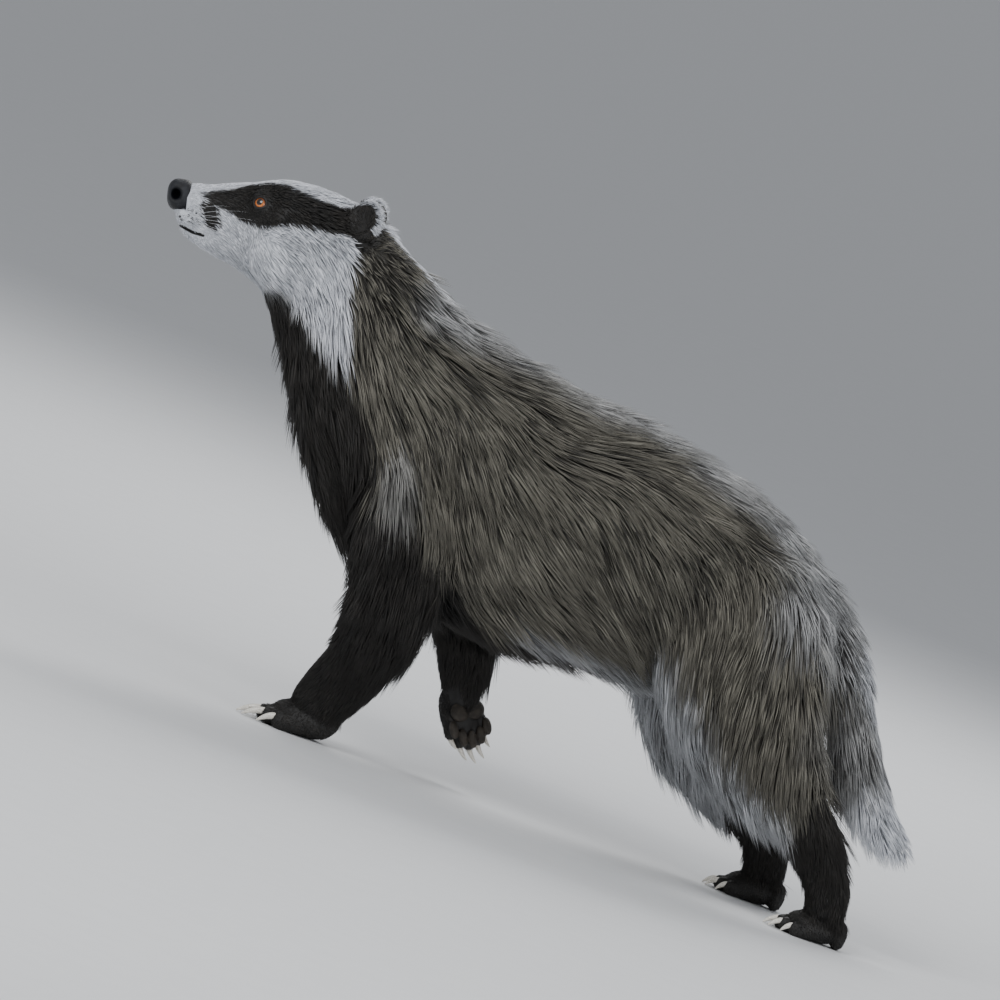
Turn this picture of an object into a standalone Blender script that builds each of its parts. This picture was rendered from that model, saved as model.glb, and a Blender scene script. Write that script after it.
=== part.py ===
"""European badger, life size, standing on three paws with its right forepaw lifted.

Metres, +Z up. The animal looks along -X, its left side is at -Y, and the floor is z = 0.
Each row of an outline gives the outer surface of the coat, and its last number is the depth of
the coat there. The body is modelled whole, covered with locks of hair, and then parted.
"""

import math
import random

import bmesh
import bpy
import numpy as np
from mathutils import Matrix, Vector
from mathutils.bvhtree import BVHTree

# Gaps and mesh sizes
PART_GAP = 0.0003
CORE_SHARE = 0.5
BODY_VOXEL = 0.0026
BODY_TRIANGLES = 6000
CORE_TRIANGLES = 3200
LIMB_VOXEL = 0.006
LIMB_TRIANGLES = 160
LIMB_SWELL = {
    "tail": 0.012,
    "foreleg_left": 0.006,
    "foreleg_right": 0.006,
    "hindleg_left": 0.011,
    "hindleg_right": 0.011,
}
SOLE_SINK = 0.0013

# How far everything moves so that the middle of the whole box is at x = y = 0
SHIFT = Vector((-0.0346, 0.0, 0.0))

# Trunk, neck first: x, y, z, half width, up, down, coat depth
TRUNK_ROWS = [
    (-0.2120, 0.0, 0.3800, 0.061, 0.060, 0.062, 0.010),
    (-0.1800, 0.0, 0.3560, 0.067, 0.070, 0.070, 0.013),
    (-0.1425, 0.0, 0.3230, 0.078, 0.084, 0.084, 0.016),
    (-0.1020, 0.0, 0.2910, 0.089, 0.100, 0.100, 0.018),
    (-0.0480, 0.0, 0.2590, 0.098, 0.114, 0.116, 0.018),
    (0.0220, 0.0, 0.2440, 0.106, 0.116, 0.114, 0.018),
    (0.0830, 0.0, 0.2440, 0.110, 0.111, 0.106, 0.018),
    (0.1400, 0.0, 0.2400, 0.108, 0.106, 0.098, 0.019),
    (0.1930, 0.0, 0.2350, 0.101, 0.098, 0.090, 0.020),
    (0.2400, 0.0, 0.2300, 0.086, 0.083, 0.074, 0.021),
    (0.2700, 0.0, 0.2260, 0.064, 0.062, 0.052, 0.020),
]

# Legs, top first: x, y, z, half width, back, front, coat depth
FORELEG_LEFT_ROWS = [
    (-0.0600, -0.050, 0.2700, 0.038, 0.050, 0.050, 0.014),
    (-0.0620, -0.063, 0.2250, 0.037, 0.052, 0.050, 0.014),
    (-0.0580, -0.065, 0.1800, 0.035, 0.046, 0.045, 0.012),
    (-0.0540, -0.059, 0.1400, 0.032, 0.038, 0.038, 0.008),
    (-0.0560, -0.049, 0.1050, 0.029, 0.032, 0.034, 0.005),
    (-0.0620, -0.038, 0.0750, 0.026, 0.028, 0.029, 0.004),
    (-0.0730, -0.030, 0.0480, 0.025, 0.025, 0.027, 0.003),
    (-0.0820, -0.027, 0.0280, 0.024, 0.022, 0.024, 0.003),
]
FORELEG_RIGHT_ROWS = [
    (-0.0550, 0.050, 0.2700, 0.038, 0.050, 0.050, 0.014),
    (-0.0520, 0.064, 0.2250, 0.037, 0.052, 0.050, 0.014),
    (-0.0330, 0.067, 0.1850, 0.035, 0.044, 0.040, 0.012),
    (-0.0030, 0.065, 0.1540, 0.031, 0.037, 0.031, 0.008),
    (0.0130, 0.061, 0.1300, 0.027, 0.028, 0.025, 0.005),
    (0.0220, 0.057, 0.1030, 0.024, 0.022, 0.023, 0.004),
    (0.0280, 0.054, 0.0860, 0.020, 0.018, 0.019, 0.003),
    (0.0330, 0.052, 0.0720, 0.018, 0.016, 0.017, 0.003),
]
HINDLEG_LEFT_ROWS = [
    (0.2200, -0.048, 0.2620, 0.042, 0.058, 0.060, 0.018),
    (0.2290, -0.060, 0.2250, 0.044, 0.074, 0.078, 0.020),
    (0.2440, -0.066, 0.1850, 0.043, 0.073, 0.074, 0.020),
    (0.2680, -0.068, 0.1480, 0.039, 0.060, 0.056, 0.018),
    (0.3000, -0.067, 0.1180, 0.032, 0.043, 0.037, 0.012),
    (0.3330, -0.065, 0.0940, 0.024, 0.027, 0.025, 0.007),
    (0.3610, -0.063, 0.0700, 0.020, 0.018, 0.021, 0.005),
    (0.3770, -0.062, 0.0450, 0.019, 0.019, 0.018, 0.004),
    (0.3820, -0.062, 0.0260, 0.019, 0.018, 0.017, 0.004),
]
HINDLEG_RIGHT_ROWS = [
    (0.2150, 0.048, 0.2560, 0.042, 0.058, 0.060, 0.018),
    (0.2150, 0.060, 0.2150, 0.044, 0.074, 0.074, 0.020),
    (0.2160, 0.066, 0.1720, 0.043, 0.070, 0.068, 0.020),
    (0.2320, 0.068, 0.1320, 0.038, 0.056, 0.054, 0.018),
    (0.2600, 0.067, 0.1010, 0.031, 0.040, 0.036, 0.012),
    (0.2910, 0.065, 0.0790, 0.024, 0.026, 0.025, 0.007),
    (0.3140, 0.063, 0.0590, 0.020, 0.019, 0.019, 0.005),
    (0.3240, 0.062, 0.0400, 0.019, 0.018, 0.018, 0.004),
    (0.3270, 0.062, 0.0250, 0.019, 0.017, 0.018, 0.004),
]

# Tail, root first: x, y, z, half width, up, down, coat depth
TAIL_ROWS = [
    (0.2780, 0.0, 0.2660, 0.024, 0.020, 0.022, 0.012),
    (0.3090, 0.0, 0.2370, 0.025, 0.022, 0.024, 0.014),
    (0.3350, 0.0, 0.2030, 0.026, 0.023, 0.025, 0.016),
    (0.3560, 0.0, 0.1690, 0.026, 0.023, 0.026, 0.017),
    (0.3770, 0.0, 0.1370, 0.025, 0.022, 0.025, 0.018),
    (0.4010, 0.0, 0.1120, 0.020, 0.018, 0.020, 0.014),
    (0.4240, 0.0, 0.0950, 0.010, 0.009, 0.010, 0.008),
]

# Head, nose first: x, y, z, half width, up, down, coat depth
HEAD_ROWS = [
    (-0.3440, 0.0, 0.3880, 0.0125, 0.0135, 0.0150, 0.001),
    (-0.3350, 0.0, 0.3870, 0.0160, 0.0185, 0.0240, 0.001),
    (-0.3220, 0.0, 0.3850, 0.0190, 0.0250, 0.0300, 0.002),
    (-0.3040, 0.0, 0.3850, 0.0230, 0.0320, 0.0340, 0.002),
    (-0.2870, 0.0, 0.3860, 0.0290, 0.0380, 0.0370, 0.003),
    (-0.2690, 0.0, 0.3870, 0.0385, 0.0460, 0.0420, 0.003),
    (-0.2500, 0.0, 0.3870, 0.0485, 0.0520, 0.0480, 0.005),
    (-0.2300, 0.0, 0.3840, 0.0570, 0.0560, 0.0530, 0.006),
    (-0.2080, 0.0, 0.3790, 0.0620, 0.0590, 0.0560, 0.008),
    (-0.1850, 0.0, 0.3700, 0.0630, 0.0600, 0.0560, 0.010),
]

# Soft forms of the face, on both sides: centre, half sizes
FACE_FORMS = [
    ((-0.3310, 0.0095, 0.3755), (0.0130, 0.0095, 0.0095)),
    ((-0.2740, 0.0225, 0.4130), (0.0150, 0.0080, 0.0070)),
    ((-0.2360, 0.0300, 0.3740), (0.0380, 0.0260, 0.0310)),
]

# Face
NOSE_CENTRE = (-0.3475, 0.0, 0.3895)
NOSE_HALF = (0.0110, 0.0140, 0.0150)
NOSE_TILT = 16.0
NOSTRIL_CENTRE = (-0.3565, 0.0062, 0.3880)
NOSTRIL_HALF = (0.0042, 0.0026, 0.0034)
MOUTH_LINE = [
    (-0.3480, 0.3665),
    (-0.3380, 0.3655),
    (-0.3260, 0.3640),
    (-0.3120, 0.3645),
    (-0.3010, 0.3675),
]
MOUTH_GAPE = 0.0016
MOUTH_REACH = 0.05
MOUTH_DEPTH = 0.0022
EYE_AT = (-0.2822, 0.0, 0.4085)
EYE_FACES = (-0.42, 0.86, 0.28)
EYE_RADIUS = 0.0072
EYE_SINK = 0.0040
LID_THICK = 0.0016
LID_OPENING = (0.0064, 0.0046)
EAR_AT = (-0.1940, 0.0, 0.4230)
EAR_SIDE = 0.048
EAR_CLEAR = 0.024
EAR_OUT = (0.002, 0.006, 0.003)
EAR_FACES = (-0.55, 0.80, 0.22)
EAR_HALF = (0.0100, 0.0165, 0.0180)
EAR_WALL = 0.0034
EAR_CUP = (0.0075, 0.0, 0.0015)

# Paws that stand: middle of the palm on the floor, turn outwards in degrees, size, heel length
PAWS = {
    "fore_left": ((-0.0880, -0.0260, 0.0), 3.0, 0.98, 0.0),
    "hind_left": ((0.3780, -0.0620, 0.0), 6.0, 0.82, 0.006),
    "hind_right": ((0.3220, 0.0620, 0.0), -6.0, 0.82, 0.006),
}
LIFTED_AT = (0.0410, 0.0440, 0.0650)
LIFTED_TOES = (0.52, -0.08, -0.85)
LIFTED_BACK = (-0.50, 0.82, -0.28)
LIFTED_SIZE = 0.82

# Bare pads under the lifted paw: forward, sideways, half length, half width, and one a toe
PALM_PADS = [(-0.0010, 0.0095, 0.0105, 0.0120), (-0.0010, -0.0085, 0.0105, 0.0120)]
WRIST_PAD = (-0.0240, 0.0060, 0.0065, 0.0060)
TOE_PAD = (0.0096, 0.0052)
PAD_RISE = 0.0035

# One row a toe, from the outer to the inner: forward, sideways, toe length, claw length
TOES = [
    (0.0120, 0.0210, 0.0140, 0.0170),
    (0.0210, 0.0115, 0.0160, 0.0210),
    (0.0240, 0.0005, 0.0170, 0.0225),
    (0.0215, -0.0105, 0.0160, 0.0215),
    (0.0140, -0.0200, 0.0140, 0.0190),
]
TOE_RADIUS = 0.0082
PALM_HALF = (0.0290, 0.0240, 0.0150)
CLAW_RADIUS = 0.0030
CLAW_SHARE = {"fore_left": 0.88, "fore_right": 0.78, "hind_left": 0.6, "hind_right": 0.6}

# Locks of hair
LOCK_SPACING = 0.0385
LOCK_WIDTH = 0.039
LOCK_LENGTH = 0.100
LOCK_THICK = 0.0058
LOCK_SINK = 0.0060
LOCK_LEAST_COAT = 0.0085
LOCK_FULL_COAT = 0.016
LOCK_SHORTEST = 0.030
LOCK_CLEAR = 0.0012
LOCK_LEAST_STEP = 0.8
LOCK_STATIONS = (0.0, 0.33, 0.70, 1.0)
LOCK_SHARES = (0.62, 1.0, 0.72, 0.0)
LOCK_SHRINK = 0.86
LOCK_SLIM = 0.95
LOCK_SEED = 3
TRIES_A_POINT = 22
LIE_REACH = 0.012
LIE_DROOP = 0.45

# Where the body is parted: a point on each plane and its normal
HEAD_PLANE = ((-0.1950, 0.0, 0.3700), (0.88, 0.0, -0.48))
NECK_PLANE = ((-0.1150, 0.0, 0.2900), (0.94, 0.0, -0.34))
WRIST_BOX = 0.15
WRIST_PLANES = {
    "fore_left": ((-0.0740, -0.030, 0.0460), (-0.35, 0.10, -0.93)),
    "fore_right": ((0.0265, 0.055, 0.0900), (0.40, -0.15, -0.90)),
    "hind_left": ((0.3780, -0.062, 0.0450), (-0.10, 0.0, -1.0)),
    "hind_right": ((0.3260, 0.062, 0.0400), (-0.10, 0.0, -1.0)),
}


def clear_scene():
    """Remove every object and collection that is already there."""
    for old in list(bpy.data.objects):
        bpy.data.objects.remove(old, do_unlink=True)
    for old in list(bpy.data.collections):
        bpy.data.collections.remove(old)


def new_object(name, mesh):
    """Link a mesh to the scene as an object of that name."""
    made = bpy.data.objects.new(name, mesh)
    bpy.context.scene.collection.objects.link(made)
    return made


def from_bmesh(name, shape):
    """An object from a bmesh, which is freed."""
    mesh = bpy.data.meshes.new(name)
    shape.to_mesh(mesh)
    shape.free()
    return new_object(name, mesh)


def remove(*objects):
    """Take objects out of the file."""
    for made in objects:
        bpy.data.objects.remove(made, do_unlink=True)


def smooth_rows(rows, steps):
    """Rows read from a smooth curve through the given ones, steps to a span."""
    given = np.array(rows, float)
    padded = np.vstack([2 * given[0] - given[1], given, 2 * given[-1] - given[-2]])
    made = []
    for before, start, end, after in zip(padded, padded[1:], padded[2:], padded[3:]):
        for t in np.arange(steps) / steps:
            turn = (2 * before - 5 * start + 4 * end - after) * t**2
            bend = (3 * start - before - 3 * end + after) * t**3
            made.append(0.5 * (2 * start + (end - before) * t + turn + bend))
    made.append(given[-1])
    return np.array(made)


def loft(name, rows, steps=2, sides=24, inset=0.0, dome=0.7, rings=2, roundness=2.2):
    """A closed body round a path, with a rounded cap at each end."""
    rows = smooth_rows(rows, steps)
    tangents = np.gradient(rows[:, :3], axis=0)
    tangents /= np.linalg.norm(tangents, axis=1)[:, None]
    angles = np.linspace(0, 2 * math.pi, sides, endpoint=False)
    across = np.sign(np.cos(angles)) * np.abs(np.cos(angles)) ** (2 / roundness)
    along = np.sign(np.sin(angles)) * np.abs(np.sin(angles)) ** (2 / roundness)
    hoops = []
    for row, tangent in zip(rows, tangents):
        side = np.array([0.0, 1.0, 0.0]) - tangent[1] * tangent
        side /= np.linalg.norm(side)
        plus = np.cross(tangent, side)
        half, up, down = row[3:6] - inset * row[6]
        reach = np.where(along > 0, up, down) * along
        hoops.append(row[:3] + np.outer(across * half, side) + np.outer(reach, plus))
    caps = []
    for hoop, outward in ((hoops[0], -tangents[0]), (hoops[-1], tangents[-1])):
        middle = hoop.mean(axis=0)
        depth = dome * np.linalg.norm(hoop - middle, axis=1).min()
        bends = [math.radians(65) * step / rings for step in range(1, rings + 1)]
        caps.append(
            [middle + (hoop - middle) * math.cos(a) + outward * depth * math.sin(a) for a in bends]
        )
    shape = bmesh.new()
    hoops = [*reversed(caps[0]), *hoops, *caps[1]]
    loops = [[shape.verts.new(point) for point in hoop] for hoop in hoops]
    for first, second in zip(loops, loops[1:]):
        for i in range(sides):
            j = (i + 1) % sides
            shape.faces.new((first[i], first[j], second[j], second[i]))
    shape.faces.new(list(reversed(loops[0])))
    shape.faces.new(loops[-1])
    bmesh.ops.recalc_face_normals(shape, faces=shape.faces)
    return from_bmesh(name, shape)


def ellipsoid(name, centre, half, turn=None, rings=16):
    """A stretched sphere, turned about its middle by a rotation matrix."""
    turned = (turn or Matrix.Identity(3)).to_4x4()
    place = Matrix.Translation(centre) @ turned @ Matrix.Diagonal((*half, 1.0))
    shape = bmesh.new()
    bmesh.ops.create_uvsphere(
        shape, u_segments=2 * rings, v_segments=rings, radius=1.0, matrix=place
    )
    return from_bmesh(name, shape)


def capsule(name, start, end, first, last):
    """A round-ended rod between two points, with a radius at each end."""
    rows = []
    for share in (0.0, 0.5, 1.0):
        radius = first + (last - first) * share
        rows.append((*Vector(start).lerp(Vector(end), share), radius, radius, radius, 0.0))
    return loft(name, rows, steps=1, sides=12, dome=0.95)


def facing(direction, up=(0.0, 0.0, 1.0)):
    """A rotation whose X points along the direction and whose Z leans towards up."""
    forward = Vector(direction).normalized()
    upward = Vector(up)
    upward = (upward - upward.dot(forward) * forward).normalized()
    return Matrix((forward, upward.cross(forward), upward)).transposed()


def apply_modifiers(made):
    """Bake the modifiers into the object's own mesh."""
    bpy.context.view_layer.update()
    graph = bpy.context.evaluated_depsgraph_get()
    mesh = bpy.data.meshes.new_from_object(made.evaluated_get(graph))
    made.modifiers.clear()
    made.data = mesh
    return made


def joined(name, objects):
    """One object that holds every mesh given, still as separate shells."""
    shape = bmesh.new()
    for made in objects:
        shape.from_mesh(made.data)
    remove(*objects)
    return from_bmesh(name, shape)


def thinned(made, triangles, group=""):
    """Fewer, larger triangles, over the whole mesh or where a vertex group weighs."""
    made.data.calc_loop_triangles()
    thin = made.modifiers.new("thin", "DECIMATE")
    thin.use_collapse_triangulate = True
    thin.ratio = triangles / len(made.data.loop_triangles)
    thin.vertex_group = group
    return apply_modifiers(made)


def blended(name, objects, voxel, triangles):
    """Overlapping bodies melted into one smooth skin of about that many triangles."""
    made = joined(name, objects)
    melt = made.modifiers.new("melt", "REMESH")
    melt.mode = "VOXEL"
    melt.voxel_size = voxel
    soften = made.modifiers.new("soften", "SMOOTH")
    soften.factor = 0.5
    soften.iterations = 4
    apply_modifiers(made)
    return thinned(made, triangles)


def boolean(made, other, operation, keep=False):
    """Cut, cross or join an object with another, which is then removed."""
    step = made.modifiers.new("step", "BOOLEAN")
    step.operation = operation
    step.object = other
    apply_modifiers(made)
    if not keep:
        remove(other)
    return made


def largest_piece(made):
    """Keep only the biggest closed surface of an object."""
    shape = bmesh.new()
    shape.from_mesh(made.data)
    left = set(shape.verts)
    pieces = []
    while left:
        piece = [left.pop()]
        for vert in piece:
            near = {other for edge in vert.link_edges for other in edge.verts} & left
            left -= near
            piece.extend(near)
        pieces.append(piece)
    pieces.sort(key=len)
    loose = [vert for piece in pieces[:-1] for vert in piece]
    bmesh.ops.delete(shape, geom=loose, context="VERTS")
    shape.to_mesh(made.data)
    shape.free()
    return made


def copy_of(made, name):
    """A separate copy of an object with its own mesh."""
    return new_object(name, made.data.copy())


def grown(made, by):
    """A copy of an object swollen along its normals."""
    copy = copy_of(made, made.name + "_grown")
    swell = copy.modifiers.new("swell", "DISPLACE")
    swell.mid_level = 0.0
    swell.strength = by
    return apply_modifiers(copy)


def slab(point, normal, size=1.2):
    """A big box whose near face passes through a point, on the side of a normal."""
    normal = Vector(normal).normalized()
    turn = facing(normal, (0.1, 0.2, 0.97)).to_4x4()
    shape = bmesh.new()
    bmesh.ops.create_cube(
        shape, size=size, matrix=Matrix.Translation(Vector(point) + normal * size / 2) @ turn
    )
    return from_bmesh("slab", shape)


def split(made, keep, drop, name):
    """Take the part inside one cutter out as its own object, and clear a bit more of it away."""
    taken = boolean(copy_of(made, name), keep, "INTERSECT")
    boolean(made, drop, "DIFFERENCE")
    return largest_piece(taken)


def tree_of(made):
    """A search tree over the faces of an object."""
    faces = [tuple(face.vertices) for face in made.data.polygons]
    return BVHTree.FromPolygons([vert.co for vert in made.data.vertices], faces)


class Regions:
    """Which named part of the body a point belongs to: inside a limb, or between the planes."""

    def __init__(self):
        self.limbs = {}
        for name, rows in LIMBS.items():
            rows = rows[1:] if name == "tail" else rows
            loose = loft("limb", swollen_rows(rows, LIMB_SWELL[name]))
            region = blended("region_" + name, [loose], LIMB_VOXEL, LIMB_TRIANGLES)
            self.limbs[name] = (region, tree_of(region))

    def part_at(self, point, margin=0.0):
        """The name of the part that holds a point, or none within the margin of a cut."""
        for name, (_, tree) in self.limbs.items():
            near, normal = tree.find_nearest(point)[:2]
            depth = (near - point).dot(normal)
            if abs(depth) < margin:
                return ""
            if depth > 0:
                return name
        for name, (at, normal) in (("torso", NECK_PLANE), ("neck", HEAD_PLANE)):
            depth = (point - Vector(at)).dot(Vector(normal).normalized())
            if abs(depth) < margin:
                return ""
            if depth > 0:
                return name
        return "head"


def split_by_plane(made, plane, name, size=1.2):
    """Take what lies in a box on the normal's side of a plane out as its own object."""
    point, normal = Vector(plane[0]), Vector(plane[1]).normalized()
    half = normal * PART_GAP / 2
    keep = slab(point + half, normal, size)
    return split(made, keep, slab(point - half, normal, size + PART_GAP), name)


def swollen_rows(rows, by):
    """The same rows with every half size larger by that much."""
    return [(*row[:3], *(size + by for size in row[3:6]), 0.0) for row in rows]


def split_by_region(made, regions, name):
    """Take what lies inside a limb's region out as its own object."""
    region = regions.limbs[name][0]
    return split(made, copy_of(region, "keep"), grown(region, PART_GAP), name)


def material(name, colour, roughness):
    """A plain Principled material."""
    made = bpy.data.materials.new(name)
    made.use_nodes = True
    shader = made.node_tree.nodes["Principled BSDF"]
    shader.inputs["Base Color"].default_value = (*colour, 1.0)
    shader.inputs["Roughness"].default_value = roughness
    return made


def finished(made, name, look):
    """Name a piece, move it to its place, and give it its material and smooth shading."""
    made.name = name
    made.data.transform(Matrix.Translation(SHIFT))
    made.data.materials.clear()
    made.data.materials.append(look)
    made.data.shade_smooth()
    made.data.set_sharp_from_angle(angle=math.radians(50))
    return made


def paw_place(name):
    """Where a paw is, with X along the toes and Z out of the back of the paw, and its size."""
    if name == "fore_right":
        turn = facing(LIFTED_TOES, LIFTED_BACK).to_4x4()
        return Matrix.Translation(LIFTED_AT) @ turn, LIFTED_SIZE
    at, turn, size, _ = PAWS[name]
    turn = Matrix.Rotation(math.radians(180 + turn), 4, "Z")
    return Matrix.Translation(Vector(at) - Vector((0, 0, SOLE_SINK))) @ turn, size


def paw_forms(name):
    """Palm, back, heel and toes of a paw."""
    place, size = paw_place(name)
    length, width, height = (size * half for half in PALM_HALF)
    heel = PAWS[name][3] if name in PAWS else 0.0
    pieces = [
        ellipsoid("palm", (0, 0, height), (length, width, height)),
        ellipsoid("back", (-0.3 * length, 0, 1.3 * height), (0.8 * length, 0.85 * width, height)),
    ]
    if heel:
        pieces.append(
            ellipsoid("heel", (-length, 0, height), (heel, 0.75 * width, height))
        )
    for forward, sideways, toe, _ in TOES:
        radius = size * TOE_RADIUS
        start = (size * (forward - 0.012), size * sideways * 0.85, 1.45 * radius)
        end = (size * (forward + toe * 0.6), size * sideways, radius)
        pieces.append(capsule("toe", start, end, radius * 1.05, radius))
    for piece in pieces:
        piece.data.transform(place)
    return pieces


def claw(name, number):
    """A claw: out of the toe, level at first and then down to a point."""
    place, size = paw_place(name)
    forward, sideways, toe, length = (size * value for value in TOES[number])
    length *= CLAW_SHARE[name]
    start = Vector((forward + toe * 0.6 + size * TOE_RADIUS * 0.4, sideways, size * 0.0108))
    rows = []
    for share, thick in ((0.0, 1.0), (0.5, 0.92), (0.82, 0.66), (1.0, 0.22)):
        drop = size * 0.0082 * share**1.8
        radius = CLAW_RADIUS * size * thick
        middle = start + Vector((length * share, 0.0, -drop))
        rows.append((*middle, radius * 0.85, radius, radius, 0.0))
    made = loft("claw", rows, steps=1, sides=6, dome=0.6, rings=1)
    made.data.transform(place)
    return made


def paw_pads(name):
    """The bare pads on the sole of a lifted paw."""
    place, size = paw_place(name)
    pads = [*PALM_PADS, WRIST_PAD]
    pads += [(forward + toe * 0.3, sideways, *TOE_PAD) for forward, sideways, toe, _ in TOES]
    made = []
    for forward, sideways, length, width in pads:
        pad = ellipsoid(
            "pad",
            (size * forward, size * sideways, 0.0),
            (size * length, size * width, PAD_RISE),
            rings=4,
        )
        pad.data.transform(place)
        made.append(pad)
    return made


LIMBS = {
    "foreleg_left": FORELEG_LEFT_ROWS,
    "foreleg_right": FORELEG_RIGHT_ROWS,
    "hindleg_left": HINDLEG_LEFT_ROWS,
    "hindleg_right": HINDLEG_RIGHT_ROWS,
    "tail": TAIL_ROWS,
}


def whole_body():
    """Head, trunk, legs, paws and tail as one skin, half a coat's depth inside the outline."""
    bodies = [loft("trunk", TRUNK_ROWS, sides=32, inset=CORE_SHARE)]
    bodies += [loft(name, rows, inset=CORE_SHARE) for name, rows in LIMBS.items()]
    bodies.append(loft("skull", HEAD_ROWS, sides=32, inset=CORE_SHARE))
    for (x, y, z), half in FACE_FORMS:
        bodies += [ellipsoid("form", (x, sign * y, z), half) for sign in (-1, 1)]
    for name in CLAW_SHARE:
        bodies += paw_forms(name)
    body = blended("body", bodies, BODY_VOXEL, BODY_TRIANGLES)
    lie = Lie()
    core = body.vertex_groups.new(name="core")
    for vert in body.data.vertices:
        if lie.at(vert.co)[1] > LOCK_LEAST_COAT:
            core.add([vert.index], 1.0, "REPLACE")
    return thinned(body, CORE_TRIANGLES, core.name)


class Lie:
    """Which way the hair lies, and how deep the coat is, at any point of the body."""

    def __init__(self):
        rows, tangents = [], []
        for given in (HEAD_ROWS, TRUNK_ROWS, *LIMBS.values()):
            fine = smooth_rows(given, 4)
            along = np.gradient(fine[:, :3], axis=0)
            rows.append(fine)
            tangents.append(along / np.linalg.norm(along, axis=1)[:, None])
        self.rows = np.vstack(rows)
        self.tangents = np.vstack(tangents)

    def at(self, point):
        """The direction along the nearest limbs, and the coat's depth."""
        away = np.linalg.norm(self.rows[:, :3] - np.array(point), axis=1)
        outside = away - self.rows[:, 3:6].mean(axis=1)
        weight = np.exp((outside.min() - outside) / LIE_REACH)
        weight /= weight.sum()
        return Vector(weight @ self.tangents), float(weight @ self.rows[:, 6])

    def direction(self, point, normal):
        """The lie of the hair on the surface: along the body, and down its sides."""
        along, _ = self.at(point)
        side = 1.0 - abs(normal.z)
        along = along.normalized() + Vector((0.0, 0.0, -LIE_DROOP * side))
        return (along - along.dot(normal) * normal).normalized()


def spread_points(made, spacing, draw):
    """Points over a mesh, no two closer than the spacing."""
    made.data.calc_loop_triangles()
    corners = [[made.data.vertices[i].co for i in face.vertices] for face in made.data.loop_triangles]
    areas = [face.area for face in made.data.loop_triangles]
    tries = int(sum(areas) / spacing**2 * TRIES_A_POINT)
    kept = []
    for a, b, c in draw.choices(corners, weights=areas, k=tries):
        u, v = sorted((draw.random(), draw.random()))
        point = a * u + b * (v - u) + c * (1 - v)
        if all((point - other).length_squared > spacing**2 for other in kept):
            kept.append(point)
    return kept


def lock_corners(path, normals, sideways, widths, lifts):
    """The corners of a lock's rings: two edges and the ridge at each station."""
    low = LOCK_THICK / 3
    for point, normal, across, width, lift in zip(path, normals, sideways, widths, lifts):
        edge = across * width / 2
        middle = point + normal * (lift - low)
        yield middle - edge, middle + edge, middle + normal * LOCK_THICK


def lock_points(rings, tip):
    """A lock's corners, and points between them on its edges and its flat side."""
    rings = [*rings, (tip, tip, tip)]
    points = [corner for ring in rings for corner in ring]
    points += [(left + right) / 2 for left, right, _ in rings]
    for first, second in zip(rings, rings[1:]):
        for start, end in zip(first, second):
            points += [start.lerp(end, share) for share in (0.25, 0.5, 0.75)]
    return points


def lock(rings, tip):
    """A flat, tapered lock of hair, closed at the root and pointed at the tip."""
    shape = bmesh.new()
    loops = [[shape.verts.new(corner) for corner in ring] for ring in rings]
    point = shape.verts.new(tip)
    for first, second in zip(loops, loops[1:]):
        for i in range(3):
            j = (i + 1) % 3
            shape.faces.new((first[i], first[j], second[j], second[i]))
    for i in range(3):
        shape.faces.new((loops[-1][i], loops[-1][(i + 1) % 3], point))
    shape.faces.new(loops[0])
    bmesh.ops.recalc_face_normals(shape, faces=shape.faces)
    bmesh.ops.triangulate(shape, faces=shape.faces)
    return from_bmesh("lock", shape)


def combed(surface, lie, root, length, swing, curl):
    """Points, normals and sideways directions of a lock that lies back from its root."""
    point, normal = surface.find_nearest(root)[:2]
    path = []
    for share, after in zip(LOCK_STATIONS, (*LOCK_STATIONS[1:], 1.0)):
        back = lie.direction(point, normal)
        across = normal.cross(back)
        path.append((point, normal, across))
        ahead = back + across * (swing + curl * share)
        point, normal = surface.find_nearest(point + ahead * length * (after - share))[:2]
    return path


def runs_on(points, length):
    """Whether a lock's path keeps its step lengths, and so hasn't folded round an end."""
    shares = zip(LOCK_STATIONS, LOCK_STATIONS[1:])
    steps = [(after - before) * length for before, after in shares]
    gone = [(after - before).length for before, after in zip(points, points[1:])]
    return all(real > LOCK_LEAST_STEP * step for real, step in zip(gone, steps))


def coat_locks(body, regions):
    """Locks spread over the long coat, by the part that each is rooted in."""
    draw = random.Random(LOCK_SEED)
    lie = Lie()
    surface = tree_of(body)
    ears = [Vector((EAR_AT[0], sign * EAR_SIDE, EAR_AT[2])) for sign in (-1, 1)]
    made = {name: [] for name in (*LIMBS, "torso", "neck")}
    for root in spread_points(body, LOCK_SPACING, draw):
        depth = lie.at(root)[1]
        size = draw.uniform(0.88, 1.12)
        length = LOCK_LENGTH * size * draw.uniform(0.9, 1.15)
        swing = draw.uniform(-0.16, 0.16)
        curl = draw.uniform(-0.12, 0.12)
        part = regions.part_at(root, LOCK_CLEAR)
        if depth < LOCK_LEAST_COAT or part not in made:
            continue
        length *= min(1.0, depth / LOCK_FULL_COAT)
        rise = depth * CORE_SHARE
        lifts = (-LOCK_SINK, 0.35 * rise, 0.8 * rise, rise)
        while length > LOCK_SHORTEST:
            path = combed(surface, lie, root, length, swing, curl)
            path = list(zip(*path))
            widths = [LOCK_WIDTH * size * share for share in LOCK_SHARES]
            *rings, tip = lock_corners(*path, widths, lifts)
            points = lock_points(rings, tip[2])
            inside = all(regions.part_at(point, LOCK_CLEAR) == part for point in points)
            inside = inside and runs_on(path[0], length)
            clear = min((point - ear).length for point in points for ear in ears)
            if inside and clear > EAR_CLEAR:
                made[part].append(lock(rings, tip[2]))
                break
            length *= LOCK_SHRINK
            size *= LOCK_SLIM
    return made


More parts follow.
